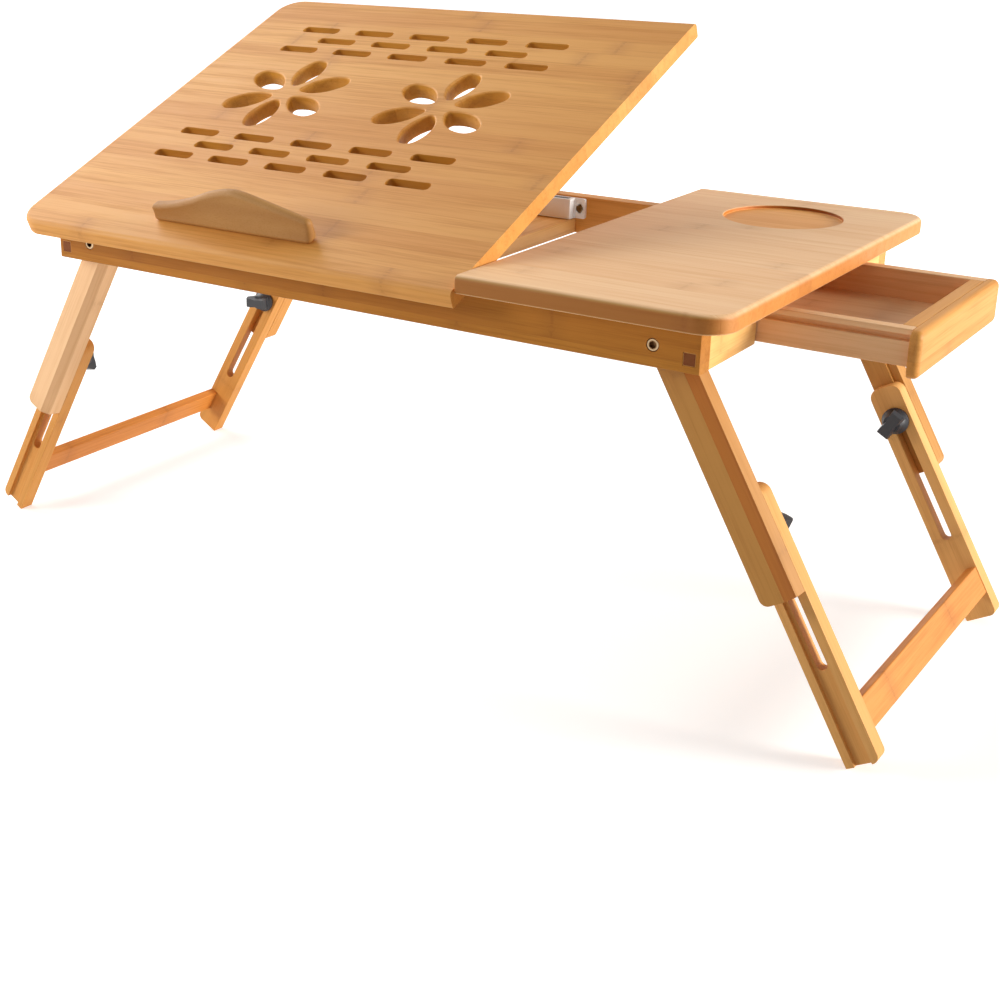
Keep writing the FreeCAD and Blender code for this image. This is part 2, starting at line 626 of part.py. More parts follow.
def pivot_bolt(x):
    head = rod(HEAD_RADIUS, Vector(x, FRONT_Y, PIVOT_Z), Y_AXIS, HEAD_THICK)
    head = head.makeChamfer(0.5, [edge for edge in head.Edges if edge.BoundBox.YMax < FRONT_Y + 0.01])
    shank = rod(BOLT_RADIUS, Vector(x, FRONT_Y, PIVOT_Z), Y_AXIS, UPPER_Y + UPPER_THICK - 0.5 - FRONT_Y)
    corners = []
    for n in range(6):
        angle = math.radians(30 + 60 * n)
        radius = HEX_ACROSS / 2 / math.cos(math.radians(30))
        corners.append(Vector(x + radius * math.cos(angle), FRONT_Y - 1, PIVOT_Z + radius * math.sin(angle)))
    socket = prism(corners, Vector(0, HEAD_THICK + 2.4, 0))
    return head.fuse(shank).cut(socket)


def pivot_nut(x):
    y0 = UPPER_Y + UPPER_THICK - NUT_THICK - 0.1
    corners = []
    for n in range(6):
        angle = math.radians(60 * n)
        corners.append(Vector(x + NUT_RADIUS * math.cos(angle), y0, PIVOT_Z + NUT_RADIUS * math.sin(angle)))
    nut = prism(corners, Vector(0, NUT_THICK, 0))
    return nut.cut(rod(BOLT_RADIUS, Vector(x, y0 - 1, PIVOT_Z), Y_AXIS, NUT_THICK + 2))


def four_corners(make):
    """The same fitting at all four pivots."""
    fronts = [make(-PIVOT_X), make(PIVOT_X)]
    return Part.makeCompound(fronts + [mirrored_y(shape) for shape in fronts])


# ---- drawer, drawn shut ----
def drawer_side():
    z0, z1 = TOP_Z - DRAWER_BOTTOM_DROP, TOP_Z - DRAWER_TOP_DROP
    side = box(DRAWER_BACK_X, END_X, -DRAWER_HALF, -DRAWER_HALF + DRAWER_WALL, z0, z1)
    groove_z = TOP_Z - GROOVE_TOP_DROP
    y0, y1 = -DRAWER_HALF - 1, -DRAWER_HALF + GROOVE_DEPTH
    groove = box(DRAWER_BACK_X - 1, END_X + 1, y0, y1, groove_z - GROOVE_HEIGHT, groove_z)
    return side.cut(groove)


def drawer_end(x0):
    """The box's own front or back, between the sides."""
    half = DRAWER_HALF - DRAWER_WALL
    return box(x0, x0 + DRAWER_WALL, -half, half, TOP_Z - DRAWER_BOTTOM_DROP, TOP_Z - DRAWER_TOP_DROP)


def drawer_bottom():
    half = DRAWER_HALF - DRAWER_WALL
    z0 = TOP_Z - DRAWER_BOTTOM_DROP
    return box(DRAWER_BACK_X + DRAWER_WALL, END_X - DRAWER_WALL, -half, half, z0, z0 + DRAWER_FLOOR)


def drawer_front():
    """The false front: it overlaps the opening and hangs below the apron as a finger pull."""
    z0, z1 = TOP_Z - FRONT_BOTTOM_DROP, TOP_Z - DRAWER_TOP_DROP
    front = box(END_X, END_X + FRONT_THICK, -FRONT_HALF, FRONT_HALF, z0, z1)
    front = front.makeFillet(5.0, edges_where(front, lambda edge: along(edge, X_AXIS)))
    face = END_X + FRONT_THICK
    rim = [edge for edge in front.Edges if edge.BoundBox.XMin > face - 0.01]
    return front.makeFillet(4.0, rim)


# ---- magnetic catch ----
def catch_body():
    """A moulded case with an ear at each end, on the inner face of the back apron."""
    wall = -RAIL_Y
    z0, z1 = TOP_Z - CATCH_BOTTOM_DROP, TOP_Z - CATCH_TOP_DROP
    case = box(CATCH_X0, CATCH_X1, wall - CATCH_DEPTH, wall, z0, z1)
    corners = edges_where(case, lambda edge: along(edge, Z_AXIS) and edge.BoundBox.YMax < wall - 1)
    case = case.makeFillet(0.8, corners)
    ears = box(CATCH_X0 - CATCH_EAR, CATCH_X1 + CATCH_EAR, wall - CATCH_EAR_THICK, wall, z0, z1)
    ears = ears.makeFillet(1.5, edges_where(ears, lambda edge: along(edge, Y_AXIS)))
    pocket = box(CATCH_X0 + 3, CATCH_X1 - 3, wall - CATCH_DEPTH + 2, wall - 2.5, z1 - 8, z1 + 1)
    holes = [screw_slot(x, z0, z1) for x in catch_ears()]
    return case.fuse(ears).cut([pocket] + holes)


def catch_ears():
    return (CATCH_X0 - CATCH_EAR / 2, CATCH_X1 + CATCH_EAR / 2)


def screw_slot(x, z0, z1):
    wall = -RAIL_Y
    middle = (z0 + z1) / 2
    low, high = middle - 2, middle + 2
    slot = box(x - 1.6, x + 1.6, wall - 5, wall + 1, low, high)
    return slot.fuse([rod(1.6, Vector(x, wall - 5, z), Y_AXIS, 6) for z in (low, high)])


def catch_magnet():
    wall = -RAIL_Y
    z1 = TOP_Z - CATCH_TOP_DROP
    return box(CATCH_X0 + 3, CATCH_X1 - 3, wall - CATCH_DEPTH + 2, wall - 2.5, z1 - 8, z1 - 0.2)


def catch_screws():
    """Round-headed screws through the ears into the apron."""
    wall = -RAIL_Y
    z = TOP_Z - (CATCH_TOP_DROP + CATCH_BOTTOM_DROP) / 2
    screws = []
    for x in catch_ears():
        head = rod(2.8, Vector(x, wall - CATCH_EAR_THICK, z), -Y_AXIS, 1.4)
        rim = [edge for edge in head.Edges if edge.BoundBox.YMax < wall - CATCH_EAR_THICK - 1.3]
        head = head.makeChamfer(0.6, rim)
        shank = rod(1.4, Vector(x, wall - CATCH_EAR_THICK - 0.5, z), Y_AXIS, CATCH_EAR_THICK + 8)
        screws.append(head.fuse(shank))
    return Part.makeCompound(screws)


def screw_bores():
    wall = -RAIL_Y
    z = TOP_Z - (CATCH_TOP_DROP + CATCH_BOTTOM_DROP) / 2
    return [rod(1.4, Vector(x, wall - 1, z), Y_AXIS, 9) for x in catch_ears()]


def strike_plate():
    """The thin steel plate under the tilting panel that the magnet holds."""
    x0, x1 = CATCH_X0 + 5, CATCH_X1 - 5
    y1 = -RAIL_Y - 1.5
    return box(x0, x1, y1 - 9, y1, UNDER_Z - 0.8, UNDER_Z)


# ---- assembly ----
def prop_foot():
    """The middle of the prop's round foot, with the top tilted as stored."""
    angle = math.radians(PROP_ANGLE)
    y = PIN_Y + PROP_FROM_PIN * math.cos(tilt) - PROP_LENGTH * math.cos(angle) + PROP_OFFSET * math.sin(angle)
    z = PIN_Z + PROP_FROM_PIN * math.sin(tilt) - PROP_LENGTH * math.sin(angle) - PROP_OFFSET * math.cos(angle)
    return Vector(PROP_X, y, z)


def on_top(shape):
    """Carry a piece of the tilting top from shut to its stored tilt."""
    return turned(shape, Vector(0, PIN_Y, PIN_Z), X_AXIS, TILT)


def on_prop(shape):
    """Swing a piece of the prop down from the board, then tilt it with the board."""
    opened = turned(shape, Vector(0, PROP_PIN_Y, PIN_Z), X_AXIS, PROP_ANGLE - TILT)
    return on_top(opened)


def on_drawer(shape):
    moved = shape.copy()
    moved.translate(Vector(DRAWER_OPEN, 0, 0))
    return moved


def leg_nodes():
    """Every piece of the four telescoping legs, by node name."""
    nodes = {}
    for end, side_x in (("left", -1), ("right", 1)):
        for face, side_y in (("front", -1), ("back", 1)):
            corner = face + "_" + end
            nodes[corner + "_upper_leg"] = placed_leg(upper_leg(), side_x, side_y)
            nodes[corner + "_lower_leg"] = placed_leg(lower_leg(-side_x * side_y), side_x, side_y)
            nodes[corner + "_knob"] = placed_leg(knob(WING_TURNS[face]), side_x, side_y)
            nodes[corner + "_knob_insert"] = placed_leg(knob_insert(), side_x, side_y)
        studs = [placed_leg(clamping_stud(), side_x, side_y) for side_y in (-1, 1)]
        nodes[end + "_clamping_studs"] = Part.makeCompound(studs)
        nodes[end + "_stretcher"] = stretcher(side_x)
    return nodes


def frame_nodes():
    inner_y = -RAIL_Y
    return {
        "front_apron": front_apron(),
        "back_apron": mirrored_y(plain_apron()).cut(screw_bores()),
        "left_end_rail": end_rail(-1, -inner_y, inner_y, (-1, 1)),
        "right_end_rail_front": end_rail(1, -inner_y, -OPENING_HALF, (-1,)),
        "right_end_rail_back": end_rail(1, OPENING_HALF, inner_y, (1,)),
        "notch_rack": notch_rack(),
        "fixed_panel": fixed_panel(),
        "drawer_runner_front": runner(),
        "drawer_runner_back": mirrored_y(runner()),
        "pivot_bolts": four_corners(pivot_bolt),
        "pivot_nuts": four_corners(pivot_nut),
        "tilt_hinge_fixed_leaves": fixed_leaves(),
        "tilt_hinge_pins": Part.makeCompound([hinge_pin(x, PIN_Y) for x in HINGE_XS]),
        "catch_body": catch_body(),
        "catch_magnet": catch_magnet(),
        "catch_screws": catch_screws(),
    }


def top_nodes():
    return {
        "tilt_panel": on_top(tilt_panel()),
        "tilt_hinge_moving_leaves": on_top(moving_leaves()),
        "strike_plate": on_top(strike_plate()),
        "prop_hinge_panel_leaf": on_top(prop_panel_leaf()),
        "prop_hinge_pin": on_top(hinge_pin(PROP_X, PROP_PIN_Y)),
        "prop_board": on_prop(prop_board()),
        "prop_hinge_prop_leaf": on_prop(prop_leaf()),
        "stop_ledge": on_top(stop_ledge()),
        "ledge_pegs": on_top(Part.makeCompound(peg_rods())),
    }


def drawer_nodes():
    pieces = {
        "drawer_front": drawer_front(),
        "drawer_box_front": drawer_end(END_X - DRAWER_WALL),
        "drawer_side_front": drawer_side(),
        "drawer_side_back": mirrored_y(drawer_side()),
        "drawer_box_back": drawer_end(DRAWER_BACK_X),
        "drawer_bottom": drawer_bottom(),
    }
    return {name: on_drawer(shape) for name, shape in pieces.items()}


def middle_y():
    """The middle of the whole table from front to back; the tilted top's lip is its foremost point."""
    lip = Vector(0, EDGE_ROUND - BOARD_DEPTH / 2 - PIN_Y, TOP_Z - EDGE_ROUND - PIN_Z)
    foremost = PIN_Y + lip.y * math.cos(tilt) - lip.z * math.sin(tilt) - EDGE_ROUND
    return (foremost + BOARD_DEPTH / 2) / 2


def main():
    os.makedirs("parts", exist_ok=True)
    nodes = {**frame_nodes(), **top_nodes(), **drawer_nodes(), **leg_nodes()}
    for name, shape in nodes.items():
        shape.translate(Vector(0, -middle_y(), 0))
        shape.exportStep("parts/" + name + ".step")
    print(len(nodes), "nodes; top at", round(TOP_Z, 2), "shift y", round(-middle_y(), 3))


main()
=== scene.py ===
import json
import math

import bpy
from mathutils import Matrix, Vector


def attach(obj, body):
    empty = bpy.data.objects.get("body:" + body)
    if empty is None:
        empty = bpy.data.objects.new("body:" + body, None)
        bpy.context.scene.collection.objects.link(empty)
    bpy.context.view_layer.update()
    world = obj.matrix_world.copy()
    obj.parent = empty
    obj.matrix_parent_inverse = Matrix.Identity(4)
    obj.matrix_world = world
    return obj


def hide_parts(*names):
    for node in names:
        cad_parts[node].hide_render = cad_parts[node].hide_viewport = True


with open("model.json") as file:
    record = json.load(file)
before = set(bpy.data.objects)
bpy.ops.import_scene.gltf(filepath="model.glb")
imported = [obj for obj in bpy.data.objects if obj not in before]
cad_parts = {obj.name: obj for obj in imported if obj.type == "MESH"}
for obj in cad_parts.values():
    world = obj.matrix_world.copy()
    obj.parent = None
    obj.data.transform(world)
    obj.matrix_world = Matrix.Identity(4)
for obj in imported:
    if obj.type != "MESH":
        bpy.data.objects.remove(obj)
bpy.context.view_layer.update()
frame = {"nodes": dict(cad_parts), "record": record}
nodes = frame["nodes"]
bodyOf = {node: body for body, held in frame["record"]["behaviour"]["bodies"].items() for node in held}
ends = {"left": -1, "right": 1}      # which way each pair of legs leans
faces = ("front", "back")
quarter = math.pi / 2
touching = 1e-5      # two places nearer than this are one, in metres
nearby = 1e-4      # and within this they belong together
print("frame loaded:", len(nodes), "nodes")

# how the table stands: lengths in metres, angles written in degrees
table = {
    "middle": 0.00121262,            # how far the drawing's middle line lies behind the frame's
    "topHeight": 0.27271404,         # of the flat board
    "tilt": math.radians(22.7),
    "tiltPinY": -0.1505,
    "tiltPinZ": 0.25871404,
    "splay": math.radians(30),
    "pivotX": 0.224,                 # of the bolts that the legs turn on
    "pivotZ": 0.24551404,
    "patternMiddle": (-0.101, 0.028),      # of the slots and flowers, on the flat board
}
tilt = table["tilt"]


# small helpers
def linear(value):
    return value / 12.92 if value <= 0.04045 else ((value + 0.055) / 1.055) ** 2.4


def rgb(red, green, blue):      # 0 to 255, as seen on a screen
    return tuple(linear(channel / 255) for channel in (red, green, blue)) + (1.0,)


def pickOnly(piece):
    bpy.ops.object.select_all(action="DESELECT")
    piece.select_set(True)
    bpy.context.view_layer.objects.active = piece


def pickEdges(piece, test):      # leaves edit mode on with only the edges whose two ends pass the test
    pickOnly(piece)
    bpy.ops.object.mode_set(mode="EDIT")
    bpy.ops.mesh.select_mode(type="EDGE")
    bpy.ops.mesh.select_all(action="DESELECT")
    bpy.ops.object.mode_set(mode="OBJECT")
    points = piece.data.vertices
    for edge in piece.data.edges:
        edge.select = test(points[edge.vertices[0]].co, points[edge.vertices[1]].co)
    bpy.ops.object.mode_set(mode="EDIT")


def pickPoints(piece, test):      # leaves edit mode on with only the points that pass the test picked
    pickOnly(piece)
    bpy.ops.object.mode_set(mode="EDIT")
    bpy.ops.mesh.select_mode(type="VERT")
    bpy.ops.mesh.select_all(action="DESELECT")
    bpy.ops.object.mode_set(mode="OBJECT")
    for point in piece.data.vertices:
        point.select = test(point.co)
    bpy.ops.object.mode_set(mode="EDIT")


def objectMode():
    bpy.ops.object.mode_set(mode="OBJECT")


def bevelWhere(piece, test, width, steps):      # rounds only the edges that pass the test
    pickEdges(piece, test)
    bpy.ops.mesh.bevel(offset=width, segments=steps, affect="EDGES")
    objectMode()


def resizeWhere(piece, test, shares, about=(0, 0, 0)):
    pickPoints(piece, test)
    bpy.ops.transform.resize(value=shares, center_override=about)
    objectMode()


def cutAcross(place, normal):      # in edit mode, a cut through the whole piece
    bpy.ops.mesh.select_all(action="SELECT")
    bpy.ops.mesh.bisect(plane_co=place, plane_no=normal)


def isLevel(a, b, height):      # both ends of an edge lie at this height
    return abs(a.z - height) < touching and abs(b.z - height) < touching


def isUpright(a, b):
    return abs(a.z - b.z) > 0.001


def applyModifier(piece, kind, **values):
    pickOnly(piece)
    modifier = piece.modifiers.new(kind.lower(), kind)
    for key, value in values.items():
        setattr(modifier, key, value)
    bpy.ops.object.modifier_apply(modifier=modifier.name)


def roundEdges(piece, width, segments, angle=35):
    applyModifier(piece, "BEVEL", width=width, segments=segments, limit_method="ANGLE",
                  angle_limit=math.radians(angle), use_clamp_overlap=True, miter_outer="MITER_ARC")


def moveInto(piece, matrix):      # places a piece and leaves its object at the origin
    pickOnly(piece)
    piece.matrix_world = matrix
    bpy.ops.object.transform_apply(location=True, rotation=True, scale=True)


def addBlock(name, middle, size):
    bpy.ops.object.select_all(action="DESELECT")
    bpy.ops.mesh.primitive_cube_add(size=1, location=middle, scale=size)
    piece = bpy.context.active_object
    piece.name = name
    moveInto(piece, piece.matrix_world.copy())
    return piece


def tiltWithTop(piece):      # a piece made on the flat board, turned up about the hinge pins
    pin = Vector((0, table["tiltPinY"], table["tiltPinZ"]))
    place = pin + Vector((0, table["middle"], 0))
    moveInto(piece, Matrix.Translation(place) @ Matrix.Rotation(tilt, 4, "X") @ Matrix.Translation(-pin))


def finishPiece(piece, material, node, smoothAngle=35):
    piece.data.materials.clear()
    piece.data.materials.append(material)
    pickOnly(piece)
    bpy.ops.object.shade_smooth_by_angle(angle=math.radians(smoothAngle))
    # big faces keep an even shade beside their eased edges
    applyModifier(piece, "WEIGHTED_NORMAL", weight=75, keep_sharp=True)
    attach(piece, bodyOf[node])
    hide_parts(node)


def sandedCopy(node, width, segments):      # a copy of a board with its edges eased
    piece = bpy.data.objects.new(node + "Sanded", nodes[node].data.copy())
    bpy.context.scene.collection.objects.link(piece)
    pickOnly(piece)
    bpy.ops.object.mode_set(mode="EDIT")
    bpy.ops.mesh.select_all(action="SELECT")
    bpy.ops.mesh.remove_doubles(threshold=touching)
    bpy.ops.mesh.dissolve_limited(angle_limit=math.radians(0.5))
    objectMode()
    roundEdges(piece, width, segments)
    return piece


# small pieces of node tree
def groupSocket(group, name, direction, kind="NodeSocketFloat", value=None):
    socket = group.interface.new_socket(name=name, in_out=direction, socket_type=kind)
    if value is not None:
        socket.default_value = value


def plug(tree, value, socket):
    if isinstance(value, (int, float, tuple)):
        socket.default_value = value
    else:
        tree.links.new(value, socket)


def calc(tree, operation, *values, clamp=False):
    node = tree.nodes.new("ShaderNodeMath")
    node.operation = operation
    node.use_clamp = clamp
    for place, value in enumerate(values):
        plug(tree, value, node.inputs[place])
    return node.outputs[0]


def ramp(tree, value, fromLow, fromHigh, toLow=0.0, toHigh=1.0):
    node = tree.nodes.new("ShaderNodeMapRange")
    node.interpolation_type = "SMOOTHSTEP"
    tree.links.new(value, node.inputs["Value"])
    settings = {"From Min": fromLow, "From Max": fromHigh, "To Min": toLow, "To Max": toHigh}
    for name, setting in settings.items():
        node.inputs[name].default_value = setting
    return node.outputs["Result"]


def noise(tree, vector, scale, detail, roughness):      # scale is three numbers, low along the grain
    stretch = tree.nodes.new("ShaderNodeVectorMath")
    stretch.operation = "MULTIPLY"
    stretch.inputs[1].default_value = scale
    tree.links.new(vector, stretch.inputs[0])
    node = tree.nodes.new("ShaderNodeTexNoise")
    node.inputs["Scale"].default_value = 1.0
    node.inputs["Detail"].default_value = detail
    node.inputs["Roughness"].default_value = roughness
    tree.links.new(stretch.outputs[0], node.inputs["Vector"])
    return node.outputs["Fac"]


def mixColour(tree, factor, first, second, blend="MIX"):
    node = tree.nodes.new("ShaderNodeMix")
    node.data_type = "RGBA"
    node.blend_type = blend
    for name, value in (("Factor", factor), ("A", first), ("B", second)):
        plug(tree, value, [socket for socket in node.inputs if socket.name == name and socket.enabled][0])
    return [socket for socket in node.outputs if socket.enabled][0]


def blankMaterial(name):
    material = bpy.data.materials.new(name)
    material.use_nodes = True
    return material, material.node_tree, material.node_tree.nodes["Principled BSDF"]


# the pattern of a glued bamboo board: noise scales are low along the fibres, lengths are in metres
grain = {
    "strip": 0.02, "pitch": 0.26,      # width of a strip, and from knuckle to knuckle
    "joint": 0.0004,                   # how far the glue line shows from a strip's edge
    "apart": 0.9,                      # how far apart the strips are cut, so that no two match
    "streaks": (6, 150, 150), "lines": (16, 650, 650), "hairs": (40, 2100, 2100),
    "streakShare": 0.45, "lineShare": 0.35, "hairShare": 0.2,
    "ragged": (40, 300, 300), "wobble": 0.016,
    "narrowKnuckle": (0.0006, 0.0032), "broadKnuckle": (0.001, 0.016),
    "cloud": (3.0, 11, 11),
    "firstStrip": 100.37, "knuckleStep": 9.7,      # start the count of strips, and spread their knuckles
}


def buildStripGroup():      # x runs along the fibres, y across the strips
    group = bpy.data.node_groups.new("bambooStrips", "ShaderNodeTree")
    groupSocket(group, "Vector", "INPUT", "NodeSocketVector")
    groupSocket(group, "Strip Width", "INPUT", value=grain["strip"])
    groupSocket(group, "Knuckle Pitch", "INPUT", value=grain["pitch"])
    groupSocket(group, "Seed", "INPUT", value=0.0)
    for name in ("Tone", "Fibre", "Knuckle", "Joint", "Cloud"):
        groupSocket(group, name, "OUTPUT")
    source = group.nodes.new("NodeGroupInput")
    result = group.nodes.new("NodeGroupOutput")
    split = group.nodes.new("ShaderNodeSeparateXYZ")
    group.links.new(source.outputs["Vector"], split.inputs[0])
    width, pitch = source.outputs["Strip Width"], source.outputs["Knuckle Pitch"]

    place = calc(group, "ADD", calc(group, "DIVIDE", split.outputs["Y"], width), grain["firstStrip"])
    index = calc(group, "ADD", calc(group, "FLOOR", place), source.outputs["Seed"])
    dice = group.nodes.new("ShaderNodeTexWhiteNoise")
    dice.noise_dimensions = "1D"
    group.links.new(index, dice.inputs["W"])
    inStrip = calc(group, "FRACT", place)
    toEdge = calc(group, "MINIMUM", inStrip, calc(group, "SUBTRACT", 1.0, inStrip))
    joint = ramp(group, calc(group, "MULTIPLY", toEdge, width), 0.0, grain["joint"], 1.0, 0.0)

    shifted = group.nodes.new("ShaderNodeVectorMath")      # each strip is cut from another place
    shifted.operation = "MULTIPLY_ADD"
    shifted.inputs[1].default_value = (grain["apart"],) * 3
    group.links.new(dice.outputs["Color"], shifted.inputs[0])
    group.links.new(source.outputs["Vector"], shifted.inputs[2])
    streaks = noise(group, shifted.outputs[0], grain["streaks"], 3.0, 0.6)
    lines = noise(group, shifted.outputs[0], grain["lines"], 3.0, 0.6)
    hairs = noise(group, shifted.outputs[0], grain["hairs"], 2.0, 0.5)
    fibre = calc(group, "ADD", calc(group, "MULTIPLY", streaks, grain["streakShare"]),
                 calc(group, "MULTIPLY", lines, grain["lineShare"]))
    fibre = calc(group, "ADD", fibre, calc(group, "MULTIPLY", hairs, grain["hairShare"]))

    ragged = noise(group, shifted.outputs[0], grain["ragged"], 3.0, 0.65)
    wobble = calc(group, "MULTIPLY", calc(group, "SUBTRACT", ragged, 0.5), grain["wobble"])
    turn = calc(group, "ADD", calc(group, "DIVIDE", split.outputs["X"], pitch),
                calc(group, "MULTIPLY", dice.outputs["Value"], grain["knuckleStep"]))
    fromKnuckle = calc(group, "ABSOLUTE", calc(group, "SUBTRACT", calc(group, "FRACT", turn), 0.5))
    distance = calc(group, "ADD", calc(group, "MULTIPLY", fromKnuckle, pitch), wobble)
    narrow = ramp(group, distance, *grain["narrowKnuckle"], 1.0, 0.0)
    broad = ramp(group, distance, *grain["broadKnuckle"], 0.5, 0.0)
    knuckle = calc(group, "MULTIPLY", calc(group, "MAXIMUM", narrow, broad),
                   ramp(group, ragged, 0.3, 0.6, 0.25, 1.0))

    cloud = noise(group, source.outputs["Vector"], grain["cloud"], 2.0, 0.5)
    outputs = {"Tone": dice.outputs["Value"], "Fibre": fibre, "Knuckle": knuckle, "Joint": joint,
               "Cloud": cloud}
    for name, socket in outputs.items():
        group.links.new(socket, result.inputs[name])
    return group


def buildCutGroup():      # 1 on the walls, turned away from a board's face, inside a block of space
    group = bpy.data.node_groups.new("cutZone", "ShaderNodeTree")
    for name in ("Vector", "Normal", "Centre", "Half", "Face"):
        groupSocket(group, name, "INPUT", "NodeSocketVector")
    groupSocket(group, "Cut", "OUTPUT")
    source = group.nodes.new("NodeGroupInput")
    result = group.nodes.new("NodeGroupOutput")
    away = group.nodes.new("ShaderNodeVectorMath")
    away.operation = "SUBTRACT"
    group.links.new(source.outputs["Vector"], away.inputs[0])
    group.links.new(source.outputs["Centre"], away.inputs[1])
    size = group.nodes.new("ShaderNodeVectorMath")
    size.operation = "ABSOLUTE"
    group.links.new(away.outputs[0], size.inputs[0])
    room = group.nodes.new("ShaderNodeVectorMath")
    room.operation = "SUBTRACT"
    group.links.new(source.outputs["Half"], room.inputs[0])
    group.links.new(size.outputs[0], room.inputs[1])
    split = group.nodes.new("ShaderNodeSeparateXYZ")
    group.links.new(room.outputs[0], split.inputs[0])
    inside = ramp(group, calc(group, "MINIMUM", split.outputs["X"], split.outputs["Y"]), 0.0, 0.002)
    facing = group.nodes.new("ShaderNodeVectorMath")
    facing.operation = "DOT_PRODUCT"
    group.links.new(source.outputs["Normal"], facing.inputs[0])
    group.links.new(source.outputs["Face"], facing.inputs[1])
    wall = ramp(group, calc(group, "ABSOLUTE", facing.outputs["Value"]), 0.2, 0.8, 1.0, 0.0)
    group.links.new(calc(group, "MULTIPLY", wall, inside), result.inputs["Cut"])
    return group


stripGroup = buildStripGroup()
cutGroup = buildCutGroup()

# light and dark strip, fibre line, knuckle
woodTones = {
    "honey": (rgb(230, 167, 86), rgb(214, 146, 66), rgb(182, 112, 39), rgb(150, 86, 30)),
    "rose": (rgb(250, 207, 159), rgb(241, 190, 138), rgb(217, 157, 100), rgb(180, 120, 66)),
    "amber": (rgb(196, 132, 48), rgb(170, 105, 30), rgb(134, 73, 16), rgb(98, 48, 12)),
    "leg": (rgb(208, 151, 76), rgb(190, 131, 58), rgb(160, 100, 38), rgb(128, 74, 26)),
    "orange": (rgb(222, 146, 66), rgb(206, 126, 48), rgb(178, 98, 32), rgb(138, 70, 22)),
    "cream": (rgb(246, 198, 128), rgb(232, 178, 104), rgb(202, 140, 68), rgb(158, 98, 44)),
    "pale": (rgb(238, 184, 112), rgb(222, 162, 88), rgb(192, 126, 56), rgb(150, 90, 38)),
}


def cutShade(tree, coords, vector, colour, cut):      # darker routed walls inside a block of space
    zone = tree.nodes.new("ShaderNodeGroup")
    zone.node_tree = cutGroup
    tree.links.new(vector, zone.inputs["Vector"])
    tree.links.new(coords.outputs["Normal"], zone.inputs["Normal"])
    for socket in ("Centre", "Half", "Face"):
        zone.inputs[socket].default_value = cut[socket.lower()]
    depth = calc(tree, "MULTIPLY", zone.outputs["Cut"], cut["depth"])
    return mixColour(tree, depth, colour, cut["colour"], "MULTIPLY")


def wellShade(tree, coords, colour, well):      # the floor of a round recess, below its rim
    away = tree.nodes.new("ShaderNodeVectorMath")
    away.operation = "DISTANCE"
    away.inputs[1].default_value = well["centre"]
    tree.links.new(coords.outputs["Object"], away.inputs[0])
    place = tree.nodes.new("ShaderNodeSeparateXYZ")
    tree.links.new(coords.outputs["Object"], place.inputs[0])
    inside = ramp(tree, away.outputs["Value"], well["radius"], well["radius"] + well["blur"], 1.0, 0.0)
    below = ramp(tree, place.outputs["Z"], *well["heights"], 1.0, 0.0)
    depth = calc(tree, "MULTIPLY", calc(tree, "MULTIPLY", inside, below), well["depth"])
    return mixColour(tree, depth, colour, well["colour"], "MULTIPLY")


def darkenTurnedFaces(tree, coords, colour, stainAndPaintedShade):      # darkens faces turned along one line, either way: end grain, a bevel, or painted shade
    facing = tree.nodes.new("ShaderNodeVectorMath")
    facing.operation = "DOT_PRODUCT"
    facing.inputs[1].default_value = stainAndPaintedShade["face"]
    tree.links.new(coords.outputs["Normal"], facing.inputs[0])
    turned = ramp(tree, calc(tree, "ABSOLUTE", facing.outputs["Value"]), *stainAndPaintedShade["range"])
    depth = calc(tree, "MULTIPLY", turned, stainAndPaintedShade["depth"])
    return mixColour(tree, depth, colour, stainAndPaintedShade["colour"], "MULTIPLY")


def bumpInto(tree, shader, height, strength, distance):
    bump = tree.nodes.new("ShaderNodeBump")
    bump.inputs["Strength"].default_value = strength
    bump.inputs["Distance"].default_value = distance
    tree.links.new(height, bump.inputs["Height"])
    tree.links.new(bump.outputs["Normal"], shader.inputs["Normal"])


# how strongly each part of the bamboo pattern shows, and how its surface shines
bambooLook = {
    "tone": 0.7, "fibre": 0.5, "knuckle": 0.42, "joint": 0.2, "cloud": (-0.1, 0.5),
    "roughness": (0.46, 0.62), "coat": 0.05, "coatRoughness": 0.45, "sheen": 0.32,
    "bump": 0.22, "bumpDepth": 0.0002, "jointDepth": 0.7,
}


